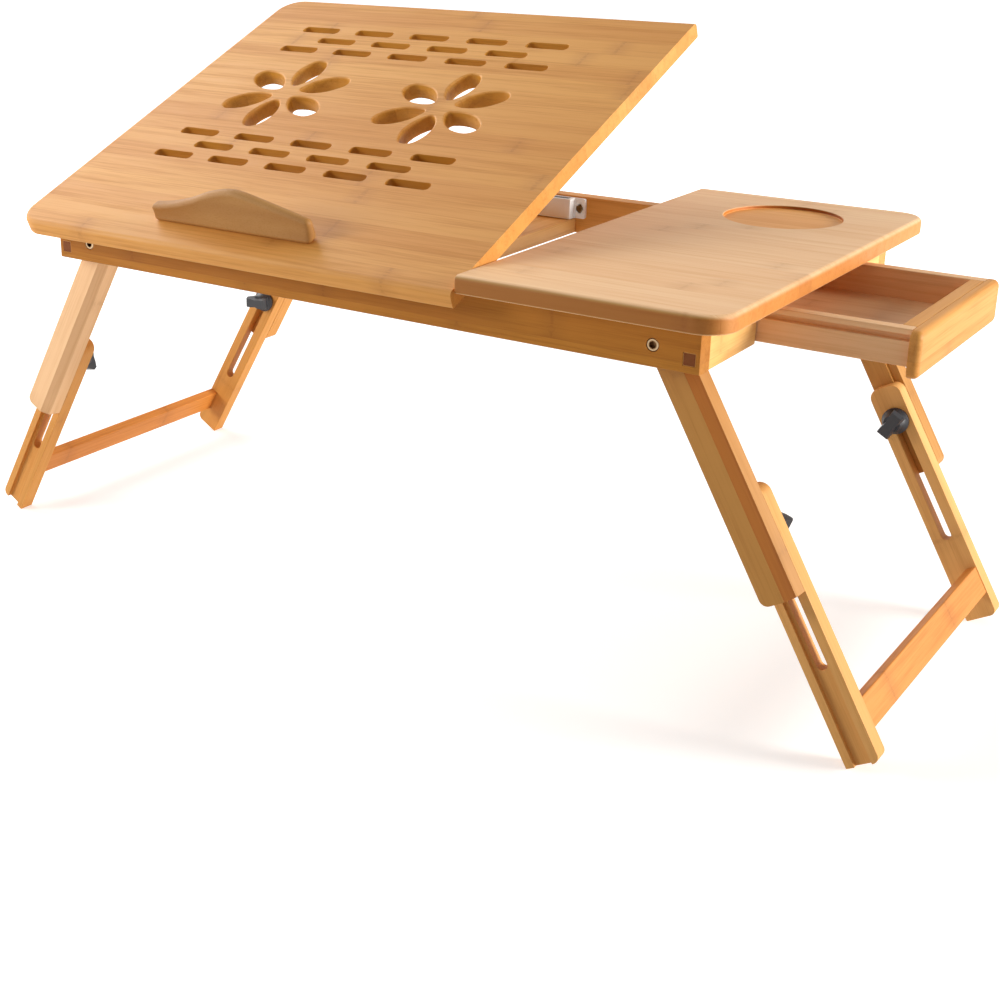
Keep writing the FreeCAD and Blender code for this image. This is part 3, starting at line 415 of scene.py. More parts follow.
def bamboo(name, tone, turn=(0, 0, 0), strip=grain["strip"], pitch=grain["pitch"], seed=0.0, contrast=1.0,
           cut=None, stainAndPaintedShade=None, well=None, sheen=bambooLook["sheen"]):
    look = bambooLook
    light, dark, line, knuckle = woodTones[tone]
    material, tree, shader = blankMaterial(name)
    coords = tree.nodes.new("ShaderNodeTexCoord")
    mapping = tree.nodes.new("ShaderNodeMapping")
    mapping.inputs["Rotation"].default_value = turn
    tree.links.new(coords.outputs["Object"], mapping.inputs["Vector"])
    strips = tree.nodes.new("ShaderNodeGroup")
    strips.node_tree = stripGroup
    tree.links.new(mapping.outputs[0], strips.inputs["Vector"])
    for socket, value in (("Strip Width", strip), ("Knuckle Pitch", pitch), ("Seed", seed)):
        strips.inputs[socket].default_value = value
    deep = calc(tree, "ADD", calc(tree, "MULTIPLY", strips.outputs["Tone"], look["tone"] * contrast),
                ramp(tree, strips.outputs["Cloud"], 0.3, 0.7, *look["cloud"]), clamp=True)
    colour = mixColour(tree, deep, light, dark)
    streak = ramp(tree, strips.outputs["Fibre"], 0.44, 0.66, 0.0, look["fibre"] * contrast)
    colour = mixColour(tree, streak, colour, line)
    for part, shade in (("Knuckle", knuckle), ("Joint", line)):
        strength = calc(tree, "MULTIPLY", strips.outputs[part], look[part.lower()] * contrast)
        colour = mixColour(tree, strength, colour, shade)
    if cut:
        colour = cutShade(tree, coords, mapping.outputs[0], colour, cut)
    if well:
        colour = wellShade(tree, coords, colour, well)
    # darker turned faces: stained end grain, a darker bevel, or painted shade on the fixed top's edges
    if stainAndPaintedShade:
        colour = darkenTurnedFaces(tree, coords, colour, stainAndPaintedShade)
    tree.links.new(colour, shader.inputs["Base Color"])
    gloss = ramp(tree, strips.outputs["Fibre"], 0.3, 0.7, *look["roughness"])
    tree.links.new(gloss, shader.inputs["Roughness"])
    shader.inputs["Specular IOR Level"].default_value = sheen
    shader.inputs["Coat Weight"].default_value = look["coat"]
    shader.inputs["Coat Roughness"].default_value = look["coatRoughness"]
    height = calc(tree, "SUBTRACT", strips.outputs["Fibre"],
                  calc(tree, "MULTIPLY", strips.outputs["Joint"], look["jointDepth"]))
    bumpInto(tree, shader, height, look["bump"], look["bumpDepth"])
    return material


def shapedBoard(name, look):      # the ledge: a sanded moulded board with no strips
    material, tree, shader = blankMaterial(name)
    coords = tree.nodes.new("ShaderNodeTexCoord")
    mottle = noise(tree, coords.outputs["Object"], (12, 60, 60), 2.0, 0.5)
    fuzz = noise(tree, coords.outputs["Object"], (600, 1500, 1500), 3.0, 0.6)
    colour = mixColour(tree, ramp(tree, mottle, 0.35, 0.68), look["light"], look["dark"])
    colour = mixColour(tree, ramp(tree, fuzz, 0.5, 0.72, 0.0, 0.3), colour, look["speck"])
    tree.links.new(colour, shader.inputs["Base Color"])
    tree.links.new(ramp(tree, fuzz, 0.3, 0.7, 0.55, 0.72), shader.inputs["Roughness"])
    bumpInto(tree, shader, fuzz, 0.35, 0.00015)
    return material


# plastic or metal: fineness is the noise scale of its surface, spread how far tone and gloss wander
def plain(name, colour, roughness, metallic=0.0, fineness=900, depth=0.00003, spread=0.06):
    material, tree, shader = blankMaterial(name)
    coords = tree.nodes.new("ShaderNodeTexCoord")
    fine = noise(tree, coords.outputs["Object"], (fineness,) * 3, 3.0, 0.6)
    broad = noise(tree, coords.outputs["Object"], (60, 60, 60), 2.0, 0.5)
    lighter = tuple(channel * (1 + 3 * spread) for channel in colour[:3]) + (1.0,)
    tone = mixColour(tree, ramp(tree, broad, 0.3, 0.7), colour, lighter)
    tree.links.new(tone, shader.inputs["Base Color"])
    gloss = ramp(tree, fine, 0.3, 0.7, roughness - spread, roughness + spread)
    tree.links.new(gloss, shader.inputs["Roughness"])
    shader.inputs["Metallic"].default_value = metallic
    bumpInto(tree, shader, fine, 0.4, depth)
    return material


def paintSocketShade(material, look):      # painted shade: a darker colour inside the drive sockets of the four bolts
    tree = material.node_tree
    shader = next(node for node in tree.nodes if node.type == "BSDF_PRINCIPLED")
    clean = shader.inputs["Base Color"].links[0].from_socket
    coords = tree.nodes.new("ShaderNodeTexCoord")
    place = tree.nodes.new("ShaderNodeSeparateXYZ")
    tree.links.new(coords.outputs["Object"], place.inputs[0])
    across = calc(tree, "SUBTRACT", calc(tree, "ABSOLUTE", place.outputs["X"]), table["pivotX"])
    up = calc(tree, "SUBTRACT", place.outputs["Z"], table["pivotZ"])
    square = calc(tree, "ADD", calc(tree, "MULTIPLY", across, across), calc(tree, "MULTIPLY", up, up))
    away = calc(tree, "SQRT", square)
    inside = ramp(tree, away, look["inner"], look["outer"], 1.0, 0.0)
    tree.links.new(mixColour(tree, inside, clean, look["colour"]), shader.inputs["Base Color"])


pinY = table["tiltPinY"] + table["middle"]
patternX, patternY = table["patternMiddle"]
pinToPattern = patternY + table["middle"] - pinY      # along the board
pinAlong = pinY * math.cos(tilt) + table["tiltPinZ"] * math.sin(tilt)

# where routed walls show: a block of space, the board's face, and how dark the walls are
patternCut = {
    "centre": (patternX, pinAlong + pinToPattern, 0.0),
    "half": (0.150, 0.115, 1.0), "face": (0, -math.sin(tilt), math.cos(tilt)),
    "depth": 0.7, "colour": rgb(218, 214, 116),
}
edgeCut = {      # every edge of the fixed top
    "centre": (0, 0, 0), "half": (2, 2, 2), "face": (0, 0, 1),
    "depth": 1.0, "colour": rgb(218, 178, 120),
}
cupWell = {      # the sunk floor of the cup recess
    "centre": (0.194, 0.106 + table["middle"], table["topHeight"] - 0.0025),
    "radius": 0.0412, "blur": 0.0006,
    "heights": (table["topHeight"] - 0.0012, table["topHeight"] - 0.0004),      # where the tint fades out
    "depth": 0.8, "colour": rgb(250, 212, 128),
}

# faces drawn darker: end grain, which took the finish darker; the planed bevel along the front legs; and
# painted shade on the front and back edges of the fixed top
paintedEdgeShade = {"face": (0, 1, 0), "range": (0.4, 0.9), "depth": 0.8, "colour": rgb(184, 164, 72)}
tenonEnd = {"face": (0, 1, 0), "range": (0.8, 0.95), "depth": 0.9, "colour": rgb(114, 56, 24)}


def darkerBevel(end, depth):      # a darker colour on the bevel along the front legs of one end
    sideways, forward = 0.608, -0.794      # its normal in the leg's own frame
    face = (sideways * math.cos(table["splay"]), forward, sideways * ends[end] * math.sin(table["splay"]))
    return {"face": face, "range": (0.86, 0.97), "depth": depth, "colour": rgb(222, 186, 140)}


def legBamboo(name, tone, end, seed, stainAndPaintedShade=None):      # bamboo that runs along the splayed legs of one end
    turn = (0, -ends[end] * (quarter - table["splay"]), 0)
    return bamboo(name, tone, turn, strip=0.012, pitch=0.19, seed=seed, contrast=0.8, stainAndPaintedShade=stainAndPaintedShade)


materials = {
    "tiltPanel": bamboo("tiltPanelBamboo", "honey", (-tilt, 0, 0), seed=3, cut=patternCut),
    # its front and back edges carry painted shade
    "fixedPanel": bamboo("fixedPanelBamboo", "rose", seed=41, contrast=0.8, cut=edgeCut,
                         stainAndPaintedShade=paintedEdgeShade, well=cupWell),
    "apron": bamboo("apronBamboo", "amber", (quarter, 0, 0), strip=0.0285, pitch=0.17, seed=11,
                    contrast=0.8, sheen=0.16),
    "backApron": bamboo("backApronBamboo", "honey", (quarter, 0, 0), strip=0.0285, pitch=0.17, seed=13),
    "endRail": bamboo("endRailBamboo", "cream", (quarter, quarter, 0), strip=0.0285, pitch=0.15, seed=23,
                      stainAndPaintedShade=tenonEnd, sheen=0.1),
    "rack": bamboo("rackBamboo", "pale", (0, 0, quarter), strip=0.022, pitch=0.17, seed=29),
    "prop": bamboo("propBamboo", "pale", (0, 0, quarter), strip=0.018, pitch=0.2, seed=5),
    "leftLeg": legBamboo("leftLegBamboo", "rose", "left", 7, darkerBevel("left", 0.2)),
    "rightLeg": legBamboo("rightLegBamboo", "leg", "right", 19, darkerBevel("right", 0.9)),
    "leftFoot": legBamboo("leftFootBamboo", "honey", "left", 61),
    "rightFoot": legBamboo("rightFootBamboo", "pale", "right", 67),
    "stretcher": bamboo("stretcherBamboo", "orange", (0, 0, quarter), strip=0.03, pitch=0.12, seed=31),
    "drawerSide": bamboo("drawerSideBamboo", "rose", (quarter, 0, 0), strip=0.024, pitch=0.14, seed=37),
    "drawerFront": bamboo("drawerFrontBamboo", "honey", (quarter, quarter, 0), strip=0.0285, pitch=0.16,
                          seed=43),
    "drawerBottom": bamboo("drawerBottomBamboo", "rose", strip=0.02, pitch=0.3, seed=47),
    "ledge": shapedBoard("ledgeBoard", {"light": rgb(182, 132, 68), "dark": rgb(170, 118, 56),
                                        "speck": rgb(146, 98, 46)}),
    "blackPlastic": plain("blackPlastic", rgb(38, 38, 43), 0.42),
    "whitePlastic": plain("whitePlastic", rgb(240, 240, 240), 0.35, fineness=400, depth=0.00001,
                          spread=0.02),
    "brass": plain("turnedBrass", rgb(205, 165, 85), 0.3, metallic=1.0),
    "zinc": plain("zincSteel", rgb(196, 190, 180), 0.32, metallic=1.0),
    "bolt": plain("boltSteel", rgb(176, 152, 120), 0.36, metallic=1.0),
    "bronze": plain("darkBronze", rgb(104, 80, 48), 0.42, metallic=1.0),
    "ferrite": plain("ferrite", rgb(58, 58, 60), 0.6),
}
# painted shade inside the drive sockets of the bolts
paintSocketShade(materials["bolt"], {"inner": 0.0022, "outer": 0.003, "colour": rgb(112, 82, 54)})
print("materials made:", len(materials))

# boards and bars: material, width of the eased edge, steps round it
boards = {
    "fixed_panel": ("fixedPanel", 0.0008, 3),
    "front_apron": ("apron", 0.0006, 2),
    "back_apron": ("backApron", 0.0006, 2),
    "left_end_rail": ("endRail", 0.0006, 2),
    "right_end_rail_front": ("endRail", 0.0006, 2),
    "right_end_rail_back": ("endRail", 0.0006, 2),
    "notch_rack": ("rack", 0.0006, 2),
    "prop_board": ("prop", 0.0006, 2),
    "drawer_runner_front": ("apron", 0.0004, 2),
    "drawer_runner_back": ("apron", 0.0004, 2),
    "drawer_front": ("drawerFront", 0.0006, 2),
    "drawer_box_front": ("drawerFront", 0.0006, 2),
    "drawer_box_back": ("drawerFront", 0.0006, 2),
    "drawer_side_front": ("drawerSide", 0.0006, 2),
    "drawer_side_back": ("drawerSide", 0.0006, 2),
    "drawer_bottom": ("drawerBottom", 0.0003, 2),
    "ledge_pegs": ("apron", 0.0004, 2),
    "left_stretcher": ("stretcher", 0.0006, 2),
    "right_stretcher": ("stretcher", 0.0006, 2),
}
# one upper leg, the back left, is cut from the same bamboo as the lower legs
for end in ends:
    for face in faces:
        kind = "Foot" if (face, end) == ("back", "left") else "Leg"
        boards[face + "_" + end + "_upper_leg"] = (end + kind, 0.0016, 4)
        boards[face + "_" + end + "_lower_leg"] = (end + "Foot", 0.0008, 3)
for node, (material, width, steps) in boards.items():
    finishPiece(sandedCopy(node, width, steps), materials[material], node)
print("boards sanded:", len(boards))

# the tilting panel, modelled flat and then turned up about its hinges
panel = {
    "left": -0.275, "seam": 0.101, "half": 0.175, "thick": 0.0115,
    "corner": 0.020, "topRound": 0.0035, "lowRound": 0.001,
    "through": 0.001,      # how far a cutter stands out past the board
    "slot": {
        "long": 0.0350, "wide": 0.0084, "corner": 0.0034, "rim": 0.0006,
        "pitch": 0.0525, "rowPitch": 0.0162, "band": 0.0818,
        "reach": 0.022, "spare": 0.002,      # find the rims: from the band's middle, and past a row's end
    },
    "petal": {      # its outline is in millimetres
        "tip": 15.0, "head": 42.0, "tipRadius": 3.5, "headRadius": 8.0, "sideRadius": 28.5,
        "count": 6, "turn": 30, "offset": 0.0705, "rim": 0.0016,
        "reach": (0.13, 0.055), "longest": 0.006,      # find the rims: from the middle, by short edges
    },
    "hinges": (-0.215, 0.045), "hingeHalf": 0.01215, "hingeY": (-0.1517, -0.1375), "leaf": 0.0012,
}


# points of an arc round a centre, from start up to end, on the bulge's side
def arcPoints(centre, start, end, bulge, steps):
    radius = (start - centre).length
    first = math.atan2(start.y - centre.y, start.x - centre.x)
    sweep = math.atan2(end.y - centre.y, end.x - centre.x) - first
    middle = math.atan2(bulge.y - centre.y, bulge.x - centre.x) - first
    if not 0 <= middle % (2 * math.pi) <= sweep % (2 * math.pi):
        sweep = -((-sweep) % (2 * math.pi))
    else:
        sweep = sweep % (2 * math.pi)
    angles = [first + sweep * n / steps for n in range(steps)]
    return [centre + radius * Vector((math.cos(angle), math.sin(angle))) for angle in angles]


def petalOutline(look):      # a leaf: two end circles and two side arcs that touch both, in millimetres
    span = look["head"] - look["tip"]
    toTip = look["sideRadius"] - look["tipRadius"]
    toHead = look["sideRadius"] - look["headRadius"]
    along = (toTip ** 2 - toHead ** 2 + span ** 2) / (2 * span)
    drop = math.sqrt(toTip ** 2 - along ** 2)
    tip, head = Vector((look["tip"], 0)), Vector((look["head"], 0))
    touch = {}
    for side in (-1, 1):
        centre = Vector((look["tip"] + along, -side * drop))
        touch[side] = (centre, tip + (tip - centre).normalized() * look["tipRadius"],
                       head + (head - centre).normalized() * look["headRadius"])
    (lowCentre, lowTip, lowHead), (highCentre, highTip, highHead) = touch[-1], touch[1]
    top = Vector((highCentre.x, highCentre.y + look["sideRadius"]))
    low = Vector((lowCentre.x, lowCentre.y - look["sideRadius"]))
    return (arcPoints(tip, highTip, lowTip, tip - Vector((1, 0)), 8)
            + arcPoints(lowCentre, lowTip, lowHead, low, 12)
            + arcPoints(head, lowHead, highHead, head + Vector((1, 0)), 12)
            + arcPoints(highCentre, highHead, highTip, top, 12))


def flatCutter(name, outline, low, high):      # a flat outline pushed up into a cutter
    mesh = bpy.data.meshes.new(name)
    mesh.from_pydata([(point.x, point.y, low) for point in outline], [], [tuple(range(len(outline)))])
    cutter = bpy.data.objects.new(name, mesh)
    bpy.context.scene.collection.objects.link(cutter)
    pickOnly(cutter)
    bpy.ops.object.mode_set(mode="EDIT")
    bpy.ops.mesh.select_all(action="SELECT")
    bpy.ops.mesh.extrude_region_move(TRANSFORM_OT_translate={"value": (0, 0, high - low)})
    bpy.ops.mesh.select_all(action="SELECT")
    bpy.ops.mesh.normals_make_consistent(inside=False)
    objectMode()
    return cutter


def scatter(cutter, places):      # one mesh that holds a copy of the cutter at each place
    copies = []
    for matrix in places:
        copy = bpy.data.objects.new(cutter.name + "Copy", cutter.data.copy())
        bpy.context.scene.collection.objects.link(copy)
        copy.data.transform(matrix)
        copies.append(copy)
    bpy.data.objects.remove(cutter)
    bpy.ops.object.select_all(action="DESELECT")
    for copy in copies:
        copy.select_set(True)
    bpy.context.view_layer.objects.active = copies[0]
    bpy.ops.object.join()
    return copies[0]


def cutAway(piece, cutter):
    applyModifier(piece, "BOOLEAN", object=cutter, operation="DIFFERENCE", solver="EXACT")
    bpy.data.objects.remove(cutter)


def slotPlaces(look):      # two bands of three rows, five, four and five slots, laid like bricks
    middleX, middleY = table["patternMiddle"]
    places = []
    for band in (-1, 1):
        for row in (-1, 0, 1):
            count = 4 if row == 0 else 5
            for n in range(count):
                x = middleX + (n - (count - 1) / 2) * look["pitch"]
                y = middleY + band * look["band"] + row * look["rowPitch"]
                places.append(Matrix.Translation((x, y, 0)))
    return places


def flowerPlaces(look):      # two flowers side by side, each petal turned a step on from the last
    middleX, middleY = table["patternMiddle"]
    step = 360 / look["count"]
    turns = [Matrix.Rotation(math.radians(look["turn"] + step * n), 4, "Z") for n in range(look["count"])]
    places = []
    for side in (-1, 1):
        centre = Matrix.Translation((middleX + side * look["offset"], middleY, 0))
        places += [centre @ turn for turn in turns]
    return places


def cutFlowers(piece, top, low):
    look = panel["petal"]
    outline = [point / 1000 for point in petalOutline(look)]
    cutter = flatCutter("petalCutter", outline, low - panel["through"], top + panel["through"])
    cutAway(piece, scatter(cutter, flowerPlaces(look)))
    middleX, middleY = table["patternMiddle"]
    reachX, reachY = look["reach"]

    def isRim(a, b):
        near = all(abs(p.x - middleX) < reachX and abs(p.y - middleY) < reachY for p in (a, b))
        return near and isLevel(a, b, top) and (a - b).length < look["longest"]
    bevelWhere(piece, isRim, look["rim"], 5)


def cutSlots(piece, top, low):
    look = panel["slot"]
    size = (look["long"], look["wide"], panel["thick"] + 2 * panel["through"])
    cutter = addBlock("slotCutter", (0, 0, (top + low) / 2), size)
    bevelWhere(cutter, isUpright, look["corner"], 7)
    cutAway(piece, scatter(cutter, slotPlaces(look)))
    middleX, middleY = table["patternMiddle"]
    reachX = look["long"] / 2 + 2 * look["pitch"] + look["spare"]

    def isRim(a, b):
        inBand = all(abs(abs(p.y - middleY) - look["band"]) < look["reach"] for p in (a, b))
        return inBand and isLevel(a, b, top) and all(abs(p.x - middleX) < reachX for p in (a, b))
    bevelWhere(piece, isRim, look["rim"], 2)


def cutHingeSeats(piece, low):
    front, back = panel["hingeY"]
    for x in panel["hinges"]:
        left, right = x - panel["hingeHalf"], x + panel["hingeHalf"]
        corners = ((left, front), (right, front), (right, back), (left, back))
        outline = [Vector(corner) for corner in corners]
        cutAway(piece, flatCutter("hingeCutter", outline, low - panel["through"], low + panel["leaf"]))


def makeTiltPanel():
    look = panel
    top = table["topHeight"]
    low = top - look["thick"]
    middle = ((look["seam"] + look["left"]) / 2, 0, (top + low) / 2)
    piece = addBlock("tiltingPanel", middle, (look["seam"] - look["left"], 2 * look["half"], look["thick"]))
    leftEnd, seam = look["left"] + nearby, look["seam"] - nearby
    bevelWhere(piece, lambda a, b: max(a.x, b.x) < leftEnd and isUpright(a, b), look["corner"], 14)
    for height, width, steps in ((top, look["topRound"], 6), (low, look["lowRound"], 2)):
        bevelWhere(piece, lambda a, b: isLevel(a, b, height) and min(a.x, b.x) < seam, width, steps)
    cutFlowers(piece, top, low)
    cutSlots(piece, top, low)
    cutHingeSeats(piece, low)
    tiltWithTop(piece)
    finishPiece(piece, materials["tiltPanel"], "tilt_panel", smoothAngle=30)


makeTiltPanel()
print("tilting panel made")

# the wave-topped stop ledge, modelled on the flat board and then tilted with it
ledge = {
    "left": -0.157, "front": -0.1525, "length": 0.137, "thick": 0.0105,
    "blank": 0.01,      # height of the block before it is drawn up to the wave
    "wave": ((0, 11.5), (17, 14), (37, 19.5), (54, 26), (70, 30), (80, 30.5), (92, 28), (112, 22.5),
             (130, 17.5), (137, 15.5)),      # place along it and height, in millimetres
    "back": ((0, 0.2), (30, 1.2), (80, 3.0), (137, 3.4)),      # place, and how far its top leans back
    "hollow": 1.5,      # depth of the cove in its face, in millimetres
    "stations": 30,      # cuts along it
    "rows": (0.0, 0.34, 0.66, 1.0),      # cuts up it
    "edge": 0.0038,
}


def smoothBetween(points, x):      # a smooth curve through the points
    for (x0, y0), (x1, y1) in zip(points, points[1:]):
        if x <= x1:
            break
    place = [point[0] for point in points].index(x0)
    before = points[max(place - 1, 0)]
    after = points[min(place + 2, len(points) - 1)]
    slope0 = (y1 - before[1]) / (x1 - before[0])
    slope1 = (after[1] - y0) / (after[0] - x0)
    t = (x - x0) / (x1 - x0)
    span = x1 - x0
    return ((2 * t ** 3 - 3 * t ** 2 + 1) * y0 + (t ** 3 - 2 * t ** 2 + t) * span * slope0
            + (3 * t ** 2 - 2 * t ** 3) * y1 + (t ** 3 - t ** 2) * span * slope1)


def makeLedge():
    look = ledge
    low, tall = table["topHeight"], look["blank"]
    middle = (look["left"] + look["length"] / 2, look["front"] + look["thick"] / 2, low + tall / 2)
    piece = addBlock("stopLedge", middle, (look["length"], look["thick"], tall))
    bpy.ops.object.mode_set(mode="EDIT")
    step = look["length"] / look["stations"]
    for n in range(1, look["stations"]):
        cutAcross((look["left"] + n * step, 0, 0), (1, 0, 0))
    for row in look["rows"][1:-1]:
        cutAcross((0, 0, low + row * tall), (0, 0, 1))
    objectMode()
    for n in range(look["stations"] + 1):
        x = look["left"] + n * step
        high = smoothBetween(look["wave"], n * step * 1000) / 1000
        back = smoothBetween(look["back"], n * step * 1000) / 1000
        resizeWhere(piece, lambda point: abs(point.x - x) < nearby, (1, 1, high / tall), (0, 0, low))
        for row in look["rows"][1:]:
            cove = row * back + look["hollow"] / 1000 * 4 * row * (1 - row)
            height = low + row * high
            pickPoints(piece, lambda point: abs(point.x - x) < nearby and abs(point.z - height) < touching
                       and point.y < look["front"] + nearby)
            bpy.ops.transform.translate(value=(0, cove, 0))
            objectMode()
    roundEdges(piece, look["edge"], 6, 40)
    tiltWithTop(piece)
    finishPiece(piece, materials["ledge"], "stop_ledge", smoothAngle=50)


makeLedge()
print("stop ledge made")

# the wing knobs, modelled once standing on their foot and copied to the four legs
knob = {
    "foot": 0.0094, "rise": 0.0022,
    "neck": ((0.0080, 0.0036), (0.0066, 0.0060), (0.0060, 0.0095)),      # radius and height
    "wingBase": 0.003, "wingShoulder": 0.0112, "wingTall": 0.0146,      # heights
    "wingLow": 0.0062, "wingWide": 0.0104, "wingTop": 0.0090,      # half widths at those heights
    "wingCuts": (-0.0055, 0.0, 0.0055), "wingThick": 0.0092,
    "waist": 0.8, "crown": 0.86,      # shares of the thickness, where the fingers press and at the top
    "edge": 0.0007,
    "turns": {"front": math.radians(50), "back": math.radians(30)},
    "baseY": -0.11515, "studReach": 0.1245,      # in the leg's own frame, from its bolt
}


def modelHub():
    look = knob
    bpy.ops.object.select_all(action="DESELECT")
    bpy.ops.mesh.primitive_cylinder_add(vertices=48, radius=look["foot"], depth=look["rise"],
                                        location=(0, 0, look["rise"] / 2))
    hub = bpy.context.active_object
    moveInto(hub, hub.matrix_world.copy())
    pickPoints(hub, lambda point: point.z > look["rise"] - touching)
    radius, height = look["foot"], look["rise"]
    for newRadius, newHeight in look["neck"]:
        bpy.ops.mesh.extrude_region_move(TRANSFORM_OT_translate={"value": (0, 0, newHeight - height)})
        share = newRadius / radius
        bpy.ops.transform.resize(value=(share, share, 1), center_override=(0, 0, 0))
        radius, height = newRadius, newHeight
    objectMode()
    return hub


def modelWing():
    look = knob
    tall = look["wingTall"] - look["wingBase"]
    size = (2 * look["wingWide"], look["wingThick"], tall)
    wing = addBlock("knobWing", (0, 0, look["wingBase"] + tall / 2), size)
    bpy.ops.object.mode_set(mode="EDIT")
    for x in look["wingCuts"]:
        cutAcross((x, 0, 0), (1, 0, 0))
    cutAcross((0, 0, look["wingShoulder"]), (0, 0, 1))
    objectMode()
    lowShare, topShare = look["wingLow"] / look["wingWide"], look["wingTop"] / look["wingWide"]
    resizeWhere(wing, lambda point: point.z < look["wingBase"] + nearby, (lowShare, 1, 1))
    resizeWhere(wing, lambda point: point.z > look["wingTall"] - touching, (topShare, look["crown"], 1))
    resizeWhere(wing, lambda point: abs(point.x) < nearby, (1, look["waist"], 1))
    return wing


def modelKnob():
    hub, wing = modelHub(), modelWing()
    applyModifier(hub, "BOOLEAN", object=wing, operation="UNION", solver="EXACT")
    bpy.data.objects.remove(wing)
    roundEdges(hub, knob["edge"], 2, 28)
    return hub


def standLeg(end, face):      # the turn and place of one leg's own frame
    side = ends[end]
    stand = Matrix.Translation((side * table["pivotX"], table["middle"], table["pivotZ"]))
    stand = stand @ Matrix.Rotation(-side * table["splay"], 4, "Y")
    return stand @ Matrix.Rotation(math.pi if face == "back" else 0.0, 4, "Z")


pattern = modelKnob()
for end in ends:
    for face in faces:
        piece = bpy.data.objects.new(face + end.capitalize() + "Knob", pattern.data.copy())
        bpy.context.scene.collection.objects.link(piece)
        place = Matrix.Translation((0, knob["baseY"], -knob["studReach"]))
        turn = Matrix.Rotation(knob["turns"][face], 4, "Y") @ Matrix.Rotation(-quarter, 4, "X")
        moveInto(piece, standLeg(end, face) @ place @ turn)
        finishPiece(piece, materials["blackPlastic"], face + "_" + end + "_knob", smoothAngle=32)
bpy.data.objects.remove(pattern)
print("knobs made: 4")

# the moulded catch, with soft corners
finishPiece(sandedCopy("catch_body", 0.0006, 3), materials["whitePlastic"], "catch_body")
print("catch made")

# fittings that keep their drawn shape
fittings = {
    "pivot_bolts": "bolt", "pivot_nuts": "zinc",
    "tilt_hinge_fixed_leaves": "zinc", "tilt_hinge_pins": "zinc", "tilt_hinge_moving_leaves": "zinc",
    "prop_hinge_panel_leaf": "zinc", "prop_hinge_pin": "zinc", "prop_hinge_prop_leaf": "zinc",
    "strike_plate": "zinc", "catch_screws": "bronze", "catch_magnet": "ferrite",
    "left_clamping_studs": "zinc", "right_clamping_studs": "zinc",
}
for end in ends:
    for face in faces:
        fittings[face + "_" + end + "_knob_insert"] = "brass"
for node, material in fittings.items():
    nodes[node].data.materials.clear()
    nodes[node].data.materials.append(materials[material])
print("fittings dressed:", len(fittings))

# floor, light and camera
stage = {
    "floorSize": 16.0,
    "floorColour": (0.74, 0.74, 0.74, 1.0),
    "floorGlow": (0.5, 1.0),       # what the camera sees added to the lit floor, near and far
    "glowReach": (0.45, 1.7),      # where near ends and far starts, from the table's middle
    "worldLight": 0.25,
    "aim": (0, 0, 0.2),
    "lamps": {
        "key": {"energy": 104.0, "size": 1.1, "place": (2.85, 0.85, 0.85), "colour": (1.0, 0.965, 0.91)},
        "sky": {"energy": 40.0, "size": 2.2, "place": (-1.95, 0.3, 1.55), "colour": (1.0, 0.99, 0.97)},
        "side": {"energy": 8.0, "size": 0.5, "place": (-0.95, -0.85, 0.55), "colour": (1.0, 0.98, 0.955)},
    },
}


def addLamp(name, look):
    light = bpy.data.lights.new(name + "Lamp", "AREA")
    light.energy = look["energy"]
    light.shape = "DISK"
    light.size = look["size"]
    light.color = look["colour"]
    lamp = bpy.data.objects.new(name + "Lamp", light)
    bpy.context.scene.collection.objects.link(lamp)
    lamp.location = look["place"]
    lamp.rotation_euler = (Vector(stage["aim"]) - lamp.location).to_track_quat("-Z", "Y").to_euler()


def seenRays(tree, kinds):      # 1 for a ray of any of these kinds
    rays = tree.nodes.new("ShaderNodeLightPath")
    seen = rays.outputs[kinds[0]]
    for kind in kinds[1:]:
        seen = calc(tree, "MAXIMUM", seen, rays.outputs[kind])
    return seen


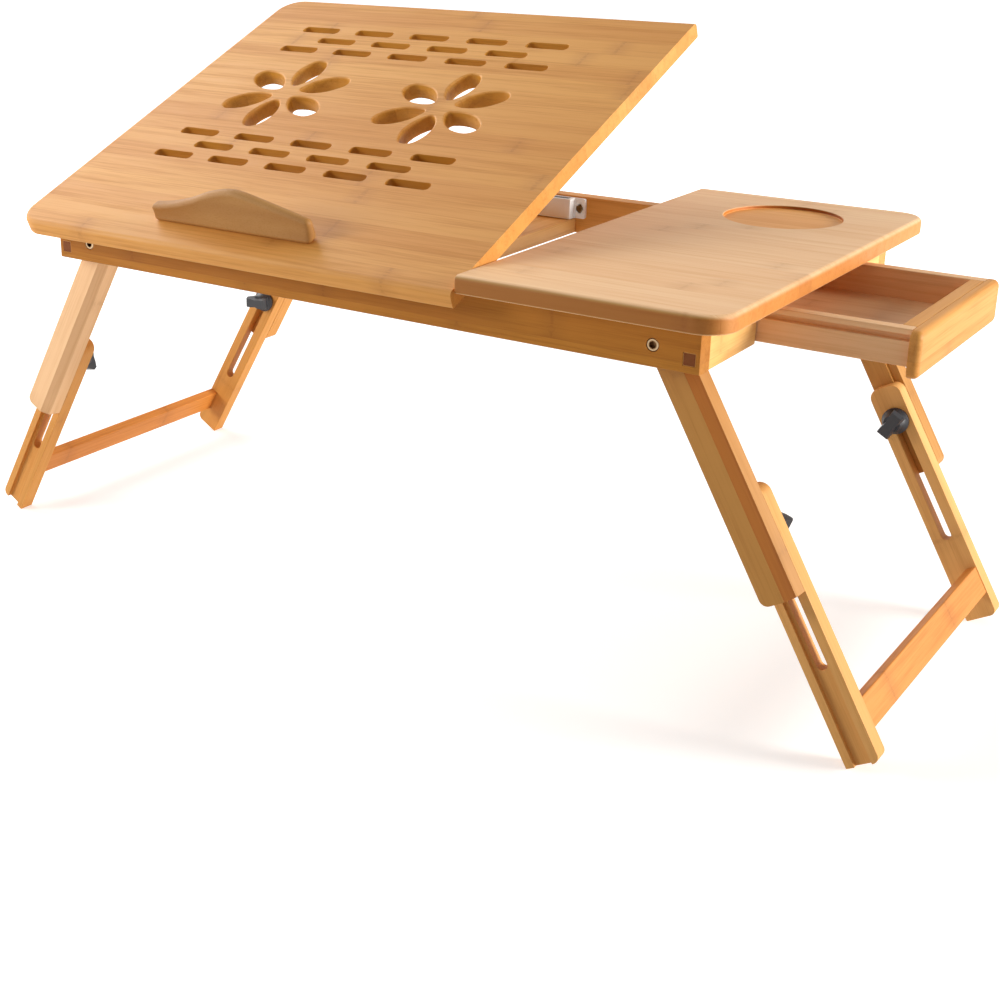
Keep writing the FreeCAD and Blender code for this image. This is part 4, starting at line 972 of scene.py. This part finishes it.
def addFloor():
    bpy.ops.object.select_all(action="DESELECT")
    bpy.ops.mesh.primitive_plane_add(size=stage["floorSize"], location=(0, 0, 0))
    floor = bpy.context.active_object
    floor.name = "studioFloor"
    material, tree, shader = blankMaterial("floorPaint")
    shader.inputs["Base Color"].default_value = stage["floorColour"]
    shader.inputs["Roughness"].default_value = 0.9
    shader.inputs["Specular IOR Level"].default_value = 0.1
    seen = seenRays(tree, ("Is Camera Ray", "Is Glossy Ray"))
    coords = tree.nodes.new("ShaderNodeTexCoord")
    reach = tree.nodes.new("ShaderNodeVectorMath")
    reach.operation = "LENGTH"
    tree.links.new(coords.outputs["Object"], reach.inputs[0])
    glow = ramp(tree, reach.outputs["Value"], *stage["glowReach"], *stage["floorGlow"])
    shader.inputs["Emission Color"].default_value = (1.0, 1.0, 1.0, 1.0)
    tree.links.new(calc(tree, "MULTIPLY", seen, glow), shader.inputs["Emission Strength"])
    floor.data.materials.append(material)


def setWorld():
    world = bpy.data.worlds.new("studio")
    world.use_nodes = True
    tree = world.node_tree
    background = tree.nodes["Background"]
    background.inputs["Color"].default_value = (1.0, 1.0, 1.0, 1.0)
    seen = seenRays(tree, ("Is Camera Ray", "Is Glossy Ray", "Is Transmission Ray"))
    strength = calc(tree, "MULTIPLY_ADD", seen, 1.0 - stage["worldLight"], stage["worldLight"])
    tree.links.new(strength, background.inputs["Strength"])
    bpy.context.scene.world = world


camera = {
    "azimuth": math.radians(34.9),
    "elevation": math.radians(20.08),
    "roll": math.radians(0.25),
    "distance": 1.1919,
    "target": Vector((-0.0416, -0.0284, 0.0849)),
    "lens": 56.82,
    "sensor": 36.0,
    "shift": (0.1048, -0.0447),
    "clipEnd": 50.0,
}


def addCamera():
    lens = bpy.data.cameras.new("studioCamera")
    lens.lens = camera["lens"]
    lens.sensor_width = camera["sensor"]
    lens.shift_x, lens.shift_y = camera["shift"]
    lens.clip_end = camera["clipEnd"]
    eye = bpy.data.objects.new("studioCamera", lens)
    bpy.context.scene.collection.objects.link(eye)
    azimuth, elevation = camera["azimuth"], camera["elevation"]
    back = Vector((math.sin(azimuth) * math.cos(elevation), -math.cos(azimuth) * math.cos(elevation),
                   math.sin(elevation)))
    turn = (-back).to_track_quat("-Z", "Y").to_matrix().to_4x4()
    eye.matrix_world = (Matrix.Translation(camera["target"] + back * camera["distance"]) @ turn
                        @ Matrix.Rotation(camera["roll"], 4, "Z"))
    bpy.context.scene.camera = eye


addFloor()
setWorld()
for name, look in stage["lamps"].items():
    addLamp(name, look)
addCamera()
bpy.context.scene.view_settings.view_transform = "Standard"
print("stage set")
